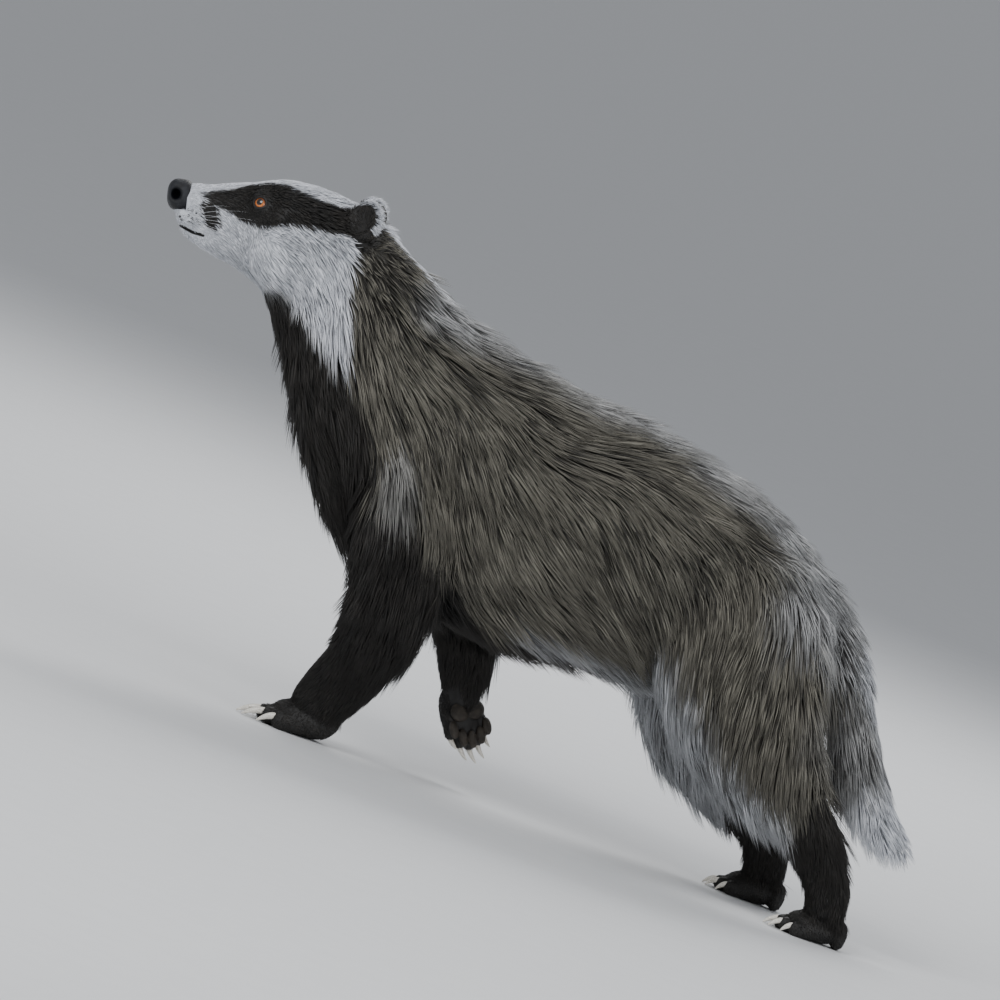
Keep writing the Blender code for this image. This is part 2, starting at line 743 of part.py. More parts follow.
def joined_by_boolean(made, pieces):
    """One Boolean union of a body with a whole collection of closed pieces, if it has any."""
    if not pieces:
        return made
    group = bpy.data.collections.new("pieces")
    for piece in pieces:
        group.objects.link(piece)
    step = made.modifiers.new("fuse", "BOOLEAN")
    step.operation = "UNION"
    step.solver = "MANIFOLD"
    step.operand_type = "COLLECTION"
    step.collection = group
    apply_modifiers(made)
    remove(*pieces)
    bpy.data.collections.remove(group)
    return largest_piece(made)


def face_point(body, at, sign):
    """The point of the skin straight out from the middle plane at that x and z."""
    start = Vector((at[0], sign * 0.2, at[2]))
    return tree_of(body).ray_cast(start, Vector((0, -sign, 0)))[0]


def add_eye(head, sign, look):
    """Lids raised on the head with an almond opening, and the eyeball behind them."""
    faces = Vector((EYE_FACES[0], sign * EYE_FACES[1], EYE_FACES[2])).normalized()
    turn = facing(faces)
    centre = face_point(head, EYE_AT, sign) - faces * EYE_SINK
    lid = EYE_RADIUS + LID_THICK
    boolean(head, ellipsoid("lid", centre, (lid,) * 3, turn, 7), "UNION")
    opening = ellipsoid("opening", centre + faces * EYE_RADIUS, (0.006, *LID_OPENING), turn, 6)
    boolean(head, opening, "DIFFERENCE")
    room = EYE_RADIUS + PART_GAP
    boolean(head, ellipsoid("room", centre, (room,) * 3, turn, 7), "DIFFERENCE")
    ball = ellipsoid("eye", centre, (EYE_RADIUS,) * 3, turn, 7)
    return finished(ball, "eye_left" if sign < 0 else "eye_right", look)


def add_ear(head, sign, look):
    """A round ear, cupped towards the front and the side, on the head's surface."""
    faces = Vector((EAR_FACES[0], sign * EAR_FACES[1], EAR_FACES[2])).normalized()
    turn = facing(faces)
    x, out, up = EAR_OUT
    centre = face_point(head, EAR_AT, sign) + Vector((x, sign * out, up))
    ear = ellipsoid("ear", centre, EAR_HALF, turn, 8)
    hollow = [half - EAR_WALL for half in EAR_HALF]
    cup = ellipsoid("cup", centre + turn @ Vector(EAR_CUP), hollow, turn, 7)
    boolean(ear, cup, "DIFFERENCE")
    room = [half + PART_GAP for half in EAR_HALF]
    boolean(head, ellipsoid("room", centre, room, turn, 8), "DIFFERENCE")
    return finished(ear, "ear_left" if sign < 0 else "ear_right", look)


def cut_mouth(head):
    """A shallow groove along the line between the lips."""
    shape = bmesh.new()
    edges = [[], []]
    for x, z in MOUTH_LINE:
        for edge, side in zip(edges, (-1, 1)):
            edge.append((x, z + side * MOUTH_GAPE / 2))
    outline = [*edges[0], *reversed(edges[1])]
    face = shape.faces.new([shape.verts.new((x, -MOUTH_REACH, z)) for x, z in outline])
    raised = bmesh.ops.extrude_face_region(shape, geom=[face])["geom"]
    verts = [item for item in raised if isinstance(item, bmesh.types.BMVert)]
    bmesh.ops.translate(shape, verts=verts, vec=(0.0, 2 * MOUTH_REACH, 0.0))
    bmesh.ops.recalc_face_normals(shape, faces=shape.faces)
    groove = from_bmesh("groove", shape)
    inner = loft("inner", swollen_rows(HEAD_ROWS, -MOUTH_DEPTH))
    boolean(groove, inner, "DIFFERENCE")
    boolean(head, groove, "DIFFERENCE")


def add_nose(head, look):
    """The bare nose with its nostrils, let into the end of the muzzle."""
    turn = Matrix.Rotation(math.radians(-NOSE_TILT), 3, "Y")
    nose = ellipsoid("nose", NOSE_CENTRE, NOSE_HALF, turn, 8)
    for sign in (-1, 1):
        x, y, z = NOSTRIL_CENTRE
        boolean(nose, ellipsoid("nostril", (x, sign * y, z), NOSTRIL_HALF, None, 4), "DIFFERENCE")
    room = [half + PART_GAP for half in NOSE_HALF]
    boolean(head, ellipsoid("room", NOSE_CENTRE, room, turn, 8), "DIFFERENCE")
    return finished(nose, "nose", look)


def main():
    clear_scene()
    grizzled = material("grizzled_coat", (0.18, 0.17, 0.155), 0.85)
    white = material("white_coat", (0.72, 0.72, 0.70), 0.8)
    dark = material("dark_coat", (0.035, 0.032, 0.03), 0.8)
    horn = material("claw_horn", (0.62, 0.58, 0.5), 0.4)
    leather = material("nose_leather", (0.02, 0.02, 0.022), 0.45)
    amber = material("eye", (0.25, 0.08, 0.02), 0.1)

    regions = Regions()
    body = whole_body()
    locks = coat_locks(body, regions)
    boolean(body, slab((0, 0, 0), (0, 0, -1)), "DIFFERENCE")
    for name in CLAW_SHARE:
        paw = split_by_plane(body, WRIST_PLANES[name], "paw", WRIST_BOX)
        if name == "fore_right":
            joined_by_boolean(paw, paw_pads(name))
        for number in range(len(TOES)):
            nail = claw(name, number)
            boolean(paw, grown(nail, PART_GAP), "DIFFERENCE")
            finished(nail, f"claw_{name}_{number + 1}", horn)
        finished(largest_piece(paw), "paw_" + name, dark)
    parts = {name: split_by_region(body, regions, name) for name in LIMBS}
    parts["torso"] = split_by_plane(body, NECK_PLANE, "torso")
    parts["neck"] = split_by_plane(body, HEAD_PLANE, "neck")
    for name, part in parts.items():
        look = dark if "fore" in name else grizzled
        finished(joined_by_boolean(part, locks[name]), name, look)
    head = largest_piece(body)
    cut_mouth(head)
    add_nose(head, leather)
    for sign in (-1, 1):
        add_eye(head, sign, amber)
    for sign in (-1, 1):
        add_ear(head, sign, dark)
    finished(largest_piece(head), "head", white)
    remove(*(region for region, _ in regions.limbs.values()))


main()
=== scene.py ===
# %% [markdown]
# # A life-size European badger
#
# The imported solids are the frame: they give the badger its size, its stance and its place. This
# lesson dresses them. One smooth skin takes the place of the faceted flesh, a coat of real mesh
# hair grows out of it, and eyes, nose, claws, pads and whiskers finish the animal.
#
# Everything is in metres, +Z up. The animal looks along -X and its left side is at -Y.

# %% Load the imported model
import math
from functools import reduce

import bmesh
import bpy
import numpy as np
from mathutils import Matrix, Vector
from mathutils.bvhtree import BVHTree
from mathutils.kdtree import KDTree


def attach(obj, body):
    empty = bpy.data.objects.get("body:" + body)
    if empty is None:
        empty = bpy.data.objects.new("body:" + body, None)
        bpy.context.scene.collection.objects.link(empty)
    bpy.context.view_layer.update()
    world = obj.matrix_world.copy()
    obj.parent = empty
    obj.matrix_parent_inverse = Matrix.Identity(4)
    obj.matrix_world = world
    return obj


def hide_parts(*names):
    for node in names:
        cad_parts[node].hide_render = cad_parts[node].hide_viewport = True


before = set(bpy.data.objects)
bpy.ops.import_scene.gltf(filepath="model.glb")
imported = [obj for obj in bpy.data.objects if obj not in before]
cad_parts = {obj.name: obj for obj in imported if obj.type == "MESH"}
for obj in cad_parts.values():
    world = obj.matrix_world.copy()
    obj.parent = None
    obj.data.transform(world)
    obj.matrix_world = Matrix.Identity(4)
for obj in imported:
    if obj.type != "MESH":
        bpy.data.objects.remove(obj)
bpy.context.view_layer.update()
draw = np.random.default_rng(11)

# %% [markdown]
# ## The outlines
#
# An animal's body is a set of tubes that change size: trunk, legs, tail and skull. Each row is
# one hoop of such a tube: where its middle is, its half width, how far it reaches to either side
# of the middle, and how deep the coat is there. These are the outlines of the solids, so that the
# skin lies just where the frame is. They could be sculpted by hand, but rows can be read,
# measured and changed.

# %% Rows: x, y, z, half width, up or back, down or front, coat depth
TRUNK = [
    (-0.2120, 0.0, 0.3800, 0.061, 0.060, 0.062, 0.010),
    (-0.1800, 0.0, 0.3560, 0.067, 0.070, 0.070, 0.013),
    (-0.1425, 0.0, 0.3230, 0.078, 0.084, 0.084, 0.016),
    (-0.1020, 0.0, 0.2910, 0.089, 0.100, 0.100, 0.018),
    (-0.0480, 0.0, 0.2590, 0.098, 0.114, 0.116, 0.018),
    (0.0220, 0.0, 0.2440, 0.106, 0.116, 0.114, 0.018),
    (0.0830, 0.0, 0.2440, 0.110, 0.111, 0.106, 0.018),
    (0.1400, 0.0, 0.2400, 0.108, 0.106, 0.098, 0.019),
    (0.1930, 0.0, 0.2350, 0.101, 0.098, 0.090, 0.020),
    (0.2400, 0.0, 0.2300, 0.086, 0.083, 0.074, 0.021),
    (0.2700, 0.0, 0.2260, 0.064, 0.062, 0.052, 0.020),
]
FORELEG_LEFT = [
    (-0.0600, -0.050, 0.2700, 0.038, 0.050, 0.050, 0.014),
    (-0.0620, -0.063, 0.2250, 0.037, 0.052, 0.050, 0.014),
    (-0.0580, -0.065, 0.1800, 0.035, 0.046, 0.045, 0.012),
    (-0.0540, -0.059, 0.1400, 0.032, 0.038, 0.038, 0.008),
    (-0.0560, -0.049, 0.1050, 0.029, 0.032, 0.034, 0.005),
    (-0.0620, -0.038, 0.0750, 0.026, 0.028, 0.029, 0.004),
    (-0.0730, -0.030, 0.0480, 0.025, 0.025, 0.027, 0.003),
    (-0.0820, -0.027, 0.0280, 0.024, 0.022, 0.024, 0.003),
]
FORELEG_RIGHT = [
    (-0.0550, 0.050, 0.2700, 0.038, 0.050, 0.050, 0.014),
    (-0.0520, 0.064, 0.2250, 0.037, 0.052, 0.050, 0.014),
    (-0.0330, 0.067, 0.1850, 0.035, 0.044, 0.040, 0.012),
    (-0.0030, 0.065, 0.1540, 0.031, 0.037, 0.031, 0.008),
    (0.0130, 0.061, 0.1300, 0.027, 0.028, 0.025, 0.005),
    (0.0220, 0.057, 0.1030, 0.024, 0.022, 0.023, 0.004),
    (0.0280, 0.054, 0.0860, 0.020, 0.018, 0.019, 0.003),
    (0.0330, 0.052, 0.0720, 0.018, 0.016, 0.017, 0.003),
]
HINDLEG_LEFT = [
    (0.2200, -0.048, 0.2620, 0.042, 0.058, 0.060, 0.018),
    (0.2290, -0.060, 0.2250, 0.044, 0.074, 0.078, 0.020),
    (0.2440, -0.066, 0.1850, 0.043, 0.073, 0.074, 0.020),
    (0.2680, -0.068, 0.1480, 0.039, 0.060, 0.056, 0.018),
    (0.3000, -0.067, 0.1180, 0.032, 0.043, 0.037, 0.012),
    (0.3330, -0.065, 0.0940, 0.024, 0.027, 0.025, 0.007),
    (0.3610, -0.063, 0.0700, 0.020, 0.018, 0.021, 0.005),
    (0.3770, -0.062, 0.0450, 0.019, 0.019, 0.018, 0.004),
    (0.3820, -0.062, 0.0260, 0.019, 0.018, 0.017, 0.004),
]
HINDLEG_RIGHT = [
    (0.2150, 0.048, 0.2560, 0.042, 0.058, 0.060, 0.018),
    (0.2150, 0.060, 0.2150, 0.044, 0.074, 0.074, 0.020),
    (0.2160, 0.066, 0.1720, 0.043, 0.070, 0.068, 0.020),
    (0.2320, 0.068, 0.1320, 0.038, 0.056, 0.054, 0.018),
    (0.2600, 0.067, 0.1010, 0.031, 0.040, 0.036, 0.012),
    (0.2910, 0.065, 0.0790, 0.024, 0.026, 0.025, 0.007),
    (0.3140, 0.063, 0.0590, 0.020, 0.019, 0.019, 0.005),
    (0.3240, 0.062, 0.0400, 0.019, 0.018, 0.018, 0.004),
    (0.3270, 0.062, 0.0250, 0.019, 0.017, 0.018, 0.004),
]
TAIL = [
    (0.2780, 0.0, 0.2660, 0.024, 0.020, 0.022, 0.012),
    (0.3090, 0.0, 0.2370, 0.025, 0.022, 0.024, 0.014),
    (0.3350, 0.0, 0.2030, 0.026, 0.023, 0.025, 0.016),
    (0.3560, 0.0, 0.1690, 0.026, 0.023, 0.026, 0.017),
    (0.3770, 0.0, 0.1370, 0.025, 0.022, 0.025, 0.018),
    (0.4010, 0.0, 0.1120, 0.020, 0.018, 0.020, 0.014),
    (0.4240, 0.0, 0.0950, 0.010, 0.009, 0.010, 0.008),
]
HEAD = [
    (-0.3440, 0.0, 0.3880, 0.0125, 0.0135, 0.0150, 0.001),
    (-0.3350, 0.0, 0.3870, 0.0160, 0.0185, 0.0240, 0.001),
    (-0.3220, 0.0, 0.3850, 0.0190, 0.0250, 0.0300, 0.002),
    (-0.3040, 0.0, 0.3850, 0.0230, 0.0320, 0.0340, 0.002),
    (-0.2870, 0.0, 0.3860, 0.0290, 0.0380, 0.0370, 0.003),
    (-0.2690, 0.0, 0.3870, 0.0385, 0.0460, 0.0420, 0.003),
    (-0.2500, 0.0, 0.3870, 0.0485, 0.0520, 0.0480, 0.005),
    (-0.2300, 0.0, 0.3840, 0.0570, 0.0560, 0.0530, 0.006),
    (-0.2080, 0.0, 0.3790, 0.0620, 0.0590, 0.0560, 0.008),
    (-0.1850, 0.0, 0.3700, 0.0630, 0.0600, 0.0560, 0.010),
]
SHIFT = np.array((-0.0346, 0.0, 0.0))
SIDES = {"left": -1, "right": 1}
BODY_PARTS = {
    "head": HEAD,
    "trunk": TRUNK,
    "foreleg_left": FORELEG_LEFT,
    "foreleg_right": FORELEG_RIGHT,
    "hindleg_left": HINDLEG_LEFT,
    "hindleg_right": HINDLEG_RIGHT,
    "tail": TAIL,
}
print(len(BODY_PARTS), "tubes,", sum(len(rows) for rows in BODY_PARTS.values()), "hoops")

# %% [markdown]
# ## Helpers for tubes and round forms
#
# A tube through the rows could be a curve with a bevel, but a curve has one round section. A
# mesh made hoop by hoop may be taller than it is wide, and flatter below than above, as a body
# is. A smooth curve through the rows keeps the hoops from showing as corners.

# %% A smooth curve through the rows, and a closed tube along it
ROUNDNESS = 2.2
CAP_RINGS = 3
CAP_BEND = 80.0


def smooth_rows(rows, steps):
    given = np.array(rows, float)
    padded = np.vstack([2 * given[0] - given[1], given, 2 * given[-1] - given[-2]])
    made = []
    for before, start, end, after in zip(padded, padded[1:], padded[2:], padded[3:]):
        for t in np.arange(steps) / steps:
            turn = (2 * before - 5 * start + 4 * end - after) * t**2
            bend = (3 * start - before - 3 * end + after) * t**3
            made.append(0.5 * (2 * start + (end - before) * t + turn + bend))
    made.append(given[-1])
    return np.array(made)


def new_object(name, data):
    made = bpy.data.objects.new(name, data)
    bpy.context.scene.collection.objects.link(made)
    return made


def from_bmesh(name, shape):
    mesh = bpy.data.meshes.new(name)
    shape.to_mesh(mesh)
    shape.free()
    return new_object(name, mesh)


def tube(name, rows, steps=3, sides=32, inset=0.0, dome=0.7):
    rows = smooth_rows(rows, steps)
    tangents = np.gradient(rows[:, :3], axis=0)
    tangents /= np.linalg.norm(tangents, axis=1)[:, None]
    angles = np.linspace(0, 2 * math.pi, sides, endpoint=False)
    circle = np.cos(angles), np.sin(angles)
    across, along = (np.sign(part) * np.abs(part) ** (2 / ROUNDNESS) for part in circle)
    hoops = []
    for row, tangent in zip(rows, tangents):
        side = np.array([0.0, 1.0, 0.0]) - tangent[1] * tangent
        side /= np.linalg.norm(side)
        plus = np.cross(tangent, side)
        half, up, down = row[3:6] - inset * row[6]
        reach = np.where(along > 0, up, down) * along
        hoops.append(row[:3] + np.outer(across * half, side) + np.outer(reach, plus))
    caps = []
    for hoop, outward in ((hoops[0], -tangents[0]), (hoops[-1], tangents[-1])):
        middle = hoop.mean(axis=0)
        depth = dome * np.linalg.norm(hoop - middle, axis=1).min()
        bends = [math.radians(CAP_BEND) * step / CAP_RINGS for step in range(1, CAP_RINGS + 1)]
        caps.append(
            [middle + (hoop - middle) * math.cos(a) + outward * depth * math.sin(a) for a in bends]
        )
    shape = bmesh.new()
    hoops = [*reversed(caps[0]), *hoops, *caps[1]]
    loops = [[shape.verts.new(point) for point in hoop] for hoop in hoops]
    for first, second in zip(loops, loops[1:]):
        for i in range(sides):
            j = (i + 1) % sides
            shape.faces.new((first[i], first[j], second[j], second[i]))
    shape.faces.new(list(reversed(loops[0])))
    shape.faces.new(loops[-1])
    bmesh.ops.recalc_face_normals(shape, faces=shape.faces)
    return from_bmesh(name, shape)


# %% Egg shapes, round-ended rods, and a turn that faces a direction
def facing(direction, up=(0.0, 0.0, 1.0)):
    forward = Vector(direction).normalized()
    upward = Vector(up)
    upward = (upward - upward.dot(forward) * forward).normalized()
    return Matrix((forward, upward.cross(forward), upward)).transposed()


def ellipsoid(name, centre, half, turn=None, rings=16):
    turned = (turn or Matrix.Identity(3)).to_4x4()
    place = Matrix.Translation(centre) @ turned @ Matrix.Diagonal((*half, 1.0))
    shape = bmesh.new()
    bmesh.ops.create_uvsphere(
        shape, u_segments=2 * rings, v_segments=rings, radius=1.0, matrix=place
    )
    return from_bmesh(name, shape)


def capsule(name, start, end, first, last, narrow):
    rows = []
    for share in (0.0, 0.5, 1.0):
        radius = first + (last - first) * share
        rows.append((*Vector(start).lerp(Vector(end), share), radius * narrow, radius, radius, 0.0))
    return tube(name, rows, steps=1, sides=16, dome=0.95)


# %% Apply modifiers, cut with a closed shape, melt and join meshes
def remove(*objects):
    for made in objects:
        bpy.data.objects.remove(made, do_unlink=True)


def apply_modifiers(made):
    bpy.context.view_layer.update()
    graph = bpy.context.evaluated_depsgraph_get()
    mesh = bpy.data.meshes.new_from_object(made.evaluated_get(graph))
    made.modifiers.clear()
    made.data = mesh
    return made


def melt(made, voxel, smoothings):
    """Melt what overlaps into one closed surface, and smooth it."""
    step = made.modifiers.new("melt", "REMESH")
    step.mode = "VOXEL"
    step.voxel_size = voxel
    step = made.modifiers.new("soften", "SMOOTH")
    step.iterations = smoothings
    return apply_modifiers(made)


def cut(made, other, solver="EXACT"):
    step = made.modifiers.new("step", "BOOLEAN")
    step.operation = "DIFFERENCE"
    step.solver = solver
    step.object = other
    apply_modifiers(made)
    remove(other)
    return made


def joined(name, objects):
    shape = bmesh.new()
    for made in objects:
        shape.from_mesh(made.data)
    remove(*objects)
    return from_bmesh(name, shape)


# %% [markdown]
# ## Paws, claws and pads
#
# A badger walks on broad, flat soles with five toes in a row, and its foreclaws are as long as
# the toes. Each paw is a palm, a raised back and five rods for toes, melted into the leg later
# on, so that no joint shows. The three standing paws are level with the floor. The lifted one
# hangs with its sole turned to the left and back.

# %% Where the paws are, and their toes
# Place, turn in degrees, size, and how far the heel reaches back
PAWS = {
    "fore_left": ((-0.0880, -0.0260, 0.0), 3.0, 0.98, 0.0),
    "hind_left": ((0.3780, -0.0620, 0.0), 6.0, 0.82, 0.006),
    "hind_right": ((0.3220, 0.0620, 0.0), -6.0, 0.82, 0.006),
}
LIFTED_AT = (0.0410, 0.0440, 0.0650)
LIFTED_TOES = (0.52, -0.08, -0.85)
LIFTED_BACK = (-0.50, 0.82, -0.28)
LIFTED_SIZE = 0.82
CLAW_SHARE = {"fore_left": 0.88, "fore_right": 0.78, "hind_left": 0.6, "hind_right": 0.6}
SOLE_SINK = 0.0013
PALM_HALF = (0.0290, 0.0240, 0.0150)
TOE_RADIUS = 0.0082
TOE_NARROW = 0.70
TOE_BACK = 0.012
TOE_SHARE = 0.6
CLAW_RADIUS = 0.0034
BACK_AT, BACK_HALF = (-0.3, 1.3), (0.8, 0.85)
HEEL_NARROW = 0.75
TOE_GATHER, TOE_UP, TOE_ROOT = 0.85, 1.45, 1.05
# Forward, sideways, length of the toe, length of the claw
TOES = [
    (0.0120, 0.0210, 0.0140, 0.0170),
    (0.0210, 0.0115, 0.0160, 0.0210),
    (0.0240, 0.0005, 0.0170, 0.0225),
    (0.0215, -0.0105, 0.0160, 0.0215),
    (0.0140, -0.0200, 0.0140, 0.0190),
]


def paw_place(name):
    if name == "fore_right":
        turn = facing(LIFTED_TOES, LIFTED_BACK).to_4x4()
        return Matrix.Translation(LIFTED_AT) @ turn, LIFTED_SIZE
    at, turn, size, _ = PAWS[name]
    turn = Matrix.Rotation(math.radians(180 + turn), 4, "Z")
    return Matrix.Translation(Vector(at) - Vector((0, 0, SOLE_SINK))) @ turn, size


def paw_forms(name):
    place, size = paw_place(name)
    length, width, height = (size * half for half in PALM_HALF)
    heel = PAWS[name][3] if name in PAWS else 0.0
    back_at = (BACK_AT[0] * length, 0, BACK_AT[1] * height)
    back_half = (BACK_HALF[0] * length, BACK_HALF[1] * width, height)
    pieces = [
        ellipsoid("palm", (0, 0, height), (length, width, height)),
        ellipsoid("back", back_at, back_half),
    ]
    if heel:
        pieces.append(ellipsoid("heel", (-length, 0, height), (heel, HEEL_NARROW * width, height)))
    for forward, sideways, toe, _ in TOES:
        radius = size * TOE_RADIUS
        start = (size * (forward - TOE_BACK), size * sideways * TOE_GATHER, TOE_UP * radius)
        end = (size * (forward + toe * TOE_SHARE), size * sideways, radius)
        pieces.append(capsule("toe", start, end, radius * TOE_ROOT, radius, TOE_NARROW))
    for piece in pieces:
        piece.data.transform(place)
    return pieces


# %% [markdown]
# ## The skin
#
# All tubes overlap deeply, and a voxel remesh melts them into one closed skin. Boolean unions
# would leave a hard crease where a leg meets the belly, where the real animal has muscle. The
# skin lies inside the outline by a share of the coat's depth, because the hair fills the rest.
# The face is finished on the melted skin: brow and cheek forms, a mound round each eye with an
# almond opening, cupped ears and the line of the mouth.

# %% Sizes of the face
SKIN_INSET = 0.55
SKIN_VOXEL = 0.0016
SKIN_SMOOTHINGS = 4
COVERED_SHARE = 0.15
# Place and half sizes of the lips, the brows and the cheeks
FACE_FORMS = [
    ((-0.3310, 0.0095, 0.3755), (0.0130, 0.0095, 0.0095)),
    ((-0.2740, 0.0225, 0.4130), (0.0150, 0.0080, 0.0070)),
    ((-0.2360, 0.0300, 0.3740), (0.0380, 0.0260, 0.0310)),
]
MOUTH_LINE = [
    (-0.3480, 0.3665),
    (-0.3380, 0.3655),
    (-0.3260, 0.3640),
    (-0.3165, 0.3650),
]
EYE_AT = (-0.2785, 0.0247, 0.4078)
EYE_FACES = (-0.42, 0.86, 0.28)
EYE_RADIUS = 0.0072
EYE_GAP = 0.0003
LID_THICK = 0.0016
LID_OPENING = (0.0060, 0.0066, 0.0057)
EAR_AT = (-0.1920, 0.0395, 0.4260)
EAR_FACES = (-0.55, 0.80, 0.22)
EAR_HALF = (0.0100, 0.0165, 0.0180)
EAR_WALL = 0.0034
EAR_CUP = (0.0075, 0.0, 0.0015)
NOSE_AT = (-0.3485, 0.0, 0.3892)
NOSE_HALF = (0.0100, 0.0140, 0.0137)
NOSE_TILT = 16.0
SOCKET = ((-0.0300, -0.0300, -0.0122), (0.0078, 0.0300, 0.0300))


def sided(place, faces, sign):
    towards = Vector((faces[0], sign * faces[1], faces[2])).normalized()
    return Vector((place[0], sign * place[1], place[2])), towards, facing(towards)


def eye_frame(sign):
    return sided(EYE_AT, EYE_FACES, sign)


def ear_frame(sign):
    return sided(EAR_AT, EAR_FACES, sign)


def nose_turn():
    return Matrix.Rotation(math.radians(-NOSE_TILT), 3, "Y")


# %% Melt the forms into one skin
def ear_form(sign):
    centre, _, turn = ear_frame(sign)
    ear = ellipsoid("ear", centre, EAR_HALF, turn, 24)
    hollow = [half - EAR_WALL for half in EAR_HALF]
    return cut(ear, ellipsoid("cup", centre + turn @ Vector(EAR_CUP), hollow, turn, 24))


def melted_skin():
    forms = [tube(name, rows, inset=SKIN_INSET) for name, rows in BODY_PARTS.items()]
    for (x, y, z), half in FACE_FORMS:
        forms += [ellipsoid("form", (x, sign * y, z), half) for sign in SIDES.values()]
    for sign in SIDES.values():
        centre, _, turn = eye_frame(sign)
        forms.append(ellipsoid("lid", centre, (EYE_RADIUS + LID_THICK,) * 3, turn))
        forms.append(ear_form(sign))
    for name in CLAW_SHARE:
        forms += paw_forms(name)
    return melt(joined("skin", forms), SKIN_VOXEL, SKIN_SMOOTHINGS)


skin = melted_skin()
print("melted skin:", len(skin.data.polygons), "faces")

# %% Open the lids, cut the line of the mouth, and level the soles
def mouth_groove(depth=0.0022, gape=0.0013, reach=0.05):
    shape = bmesh.new()
    upper = [(x, z + gape / 2) for x, z in MOUTH_LINE]
    lower = [(x, z - gape / 2) for x, z in MOUTH_LINE]
    face = shape.faces.new([shape.verts.new((x, -reach, z)) for x, z in upper + lower[::-1]])
    raised = bmesh.ops.extrude_face_region(shape, geom=[face])["geom"]
    moved = [item for item in raised if isinstance(item, bmesh.types.BMVert)]
    bmesh.ops.translate(shape, verts=moved, vec=(0.0, 2 * reach, 0.0))
    bmesh.ops.recalc_face_normals(shape, faces=shape.faces)
    bmesh.ops.triangulate(shape, faces=shape.faces)
    groove = from_bmesh("groove", shape)
    rows = [(*row[:3], *(size - depth for size in row[3:6]), 0.0) for row in HEAD]
    return cut(groove, tube("inner", rows))


def nose_socket():
    low, high = (Vector(corner) for corner in SOCKET)
    shape = bmesh.new()
    size = Matrix.Diagonal((*(high - low), 1.0))
    place = Matrix.Translation(NOSE_AT) @ nose_turn().to_4x4() @ Matrix.Translation((low + high) / 2)
    bmesh.ops.create_cube(shape, size=1.0, matrix=place @ size)
    return from_bmesh("socket", shape)


def finish_skin(made):
    for sign in SIDES.values():
        centre, faces, turn = eye_frame(sign)
        middle = centre + faces * EYE_RADIUS
        cut(made, ellipsoid("opening", middle, LID_OPENING, turn, 24), "MANIFOLD")
        room = (EYE_RADIUS + EYE_GAP,) * 3
        cut(made, ellipsoid("room", centre, room, turn, 24), "MANIFOLD")
    cut(made, mouth_groove(), "MANIFOLD")
    cut(made, nose_socket(), "MANIFOLD")
    below = bmesh.new()
    bmesh.ops.create_cube(below, size=2.0, matrix=Matrix.Translation((0, 0, -1.0)))
    cut(made, from_bmesh("below", below), "MANIFOLD")
    made.data.transform(Matrix.Translation(SHIFT))
    return made


finish_skin(skin)
print("skin with lids and mouth:", len(skin.data.polygons), "faces")

# %% [markdown]
# ## The lie of the hair
#
# Hair doesn't stand on end: it lies back along the body and sinks down its sides. A field gives
# this for any point. It finds the hoops that are near, blends the directions of their tubes, and
# adds some fall on the steep sides. The same field gives the coat's depth, and the place of a
# point on an unwrap of the body, tube by tube, which the hair's texture map uses. Painting the
# direction by hand would give the same, but it couldn't be read or changed later.

# %% The field of direction, depth and unwrap
LIE_REACH = 0.014
HAIR_FALL = [(-0.34, 0.30), (-0.22, 0.30), (-0.16, 0.12), (-0.08, 0.42), (0.05, 0.62), (0.45, 0.62)]
# Left, bottom, right and top of each tube's place on the unwrap
ATLAS = {
    "trunk": (0.00, 0.00, 0.46, 1.00),
    "head": (0.47, 0.50, 0.72, 1.00),
    "tail": (0.73, 0.50, 0.99, 1.00),
    "foreleg_left": (0.47, 0.00, 0.59, 0.49),
    "foreleg_right": (0.60, 0.00, 0.72, 0.49),
    "hindleg_left": (0.73, 0.00, 0.85, 0.49),
    "hindleg_right": (0.86, 0.00, 0.99, 0.49),
}
ATLAS_MARGIN = 0.004
CHUNK = 20000


def unit(vectors):
    return vectors / np.maximum(np.linalg.norm(vectors, axis=-1, keepdims=True), 1e-9)


class Lie:
    def __init__(self):
        tables = {"rows": [], "ways": [], "part": [], "run": [], "span": []}
        for number, given in enumerate(BODY_PARTS.values()):
            fine = smooth_rows(given, 4)
            fine[:, :3] += SHIFT
            steps = np.linalg.norm(np.diff(fine[:, :3], axis=0), axis=1)
            run = np.concatenate([[0.0], np.cumsum(steps)])
            tables["rows"].append(fine)
            tables["ways"].append(unit(np.gradient(fine[:, :3], axis=0)))
            tables["part"].append(np.full(len(fine), number))
            tables["run"].append(run)
            tables["span"].append(np.full(len(fine), run[-1]))
        self.table = {key: np.concatenate(value) for key, value in tables.items()}

    def at(self, points):
        """Way, coat depth, part number and place on the unwrap of each point."""
        table = self.table
        rows, ways = table["rows"], table["ways"]
        found = []
        for chunk in np.array_split(points, max(1, len(points) // CHUNK)):
            away = np.linalg.norm(chunk[:, None] - rows[None, :, :3], axis=2)
            outside = away - rows[:, 3:6].mean(axis=1)
            near = outside.argmin(axis=1)
            weight = np.exp((outside.min(axis=1, keepdims=True) - outside) / LIE_REACH)
            weight /= weight.sum(axis=1, keepdims=True)
            from_hoop = chunk - rows[near, :3]
            axis = ways[near]
            side = unit(np.array([0.0, 1.0, 0.0]) - axis[:, 1:2] * axis)
            ahead = np.einsum("ij,ij->i", from_hoop, axis)
            beside = np.einsum("ij,ij->i", from_hoop, side)
            above = np.einsum("ij,ij->i", from_hoop, np.cross(axis, side))
            along = (table["run"][near] + ahead) / table["span"][near]
            around = np.arctan2(above, beside) / (2 * math.pi) + 0.5
            found.append(
                np.column_stack([weight @ ways, weight @ rows[:, 6], table["part"][near], along, around])
            )
        found = np.concatenate(found)
        return found[:, :3], found[:, 3], found[:, 4].astype(int), found[:, 5:7]


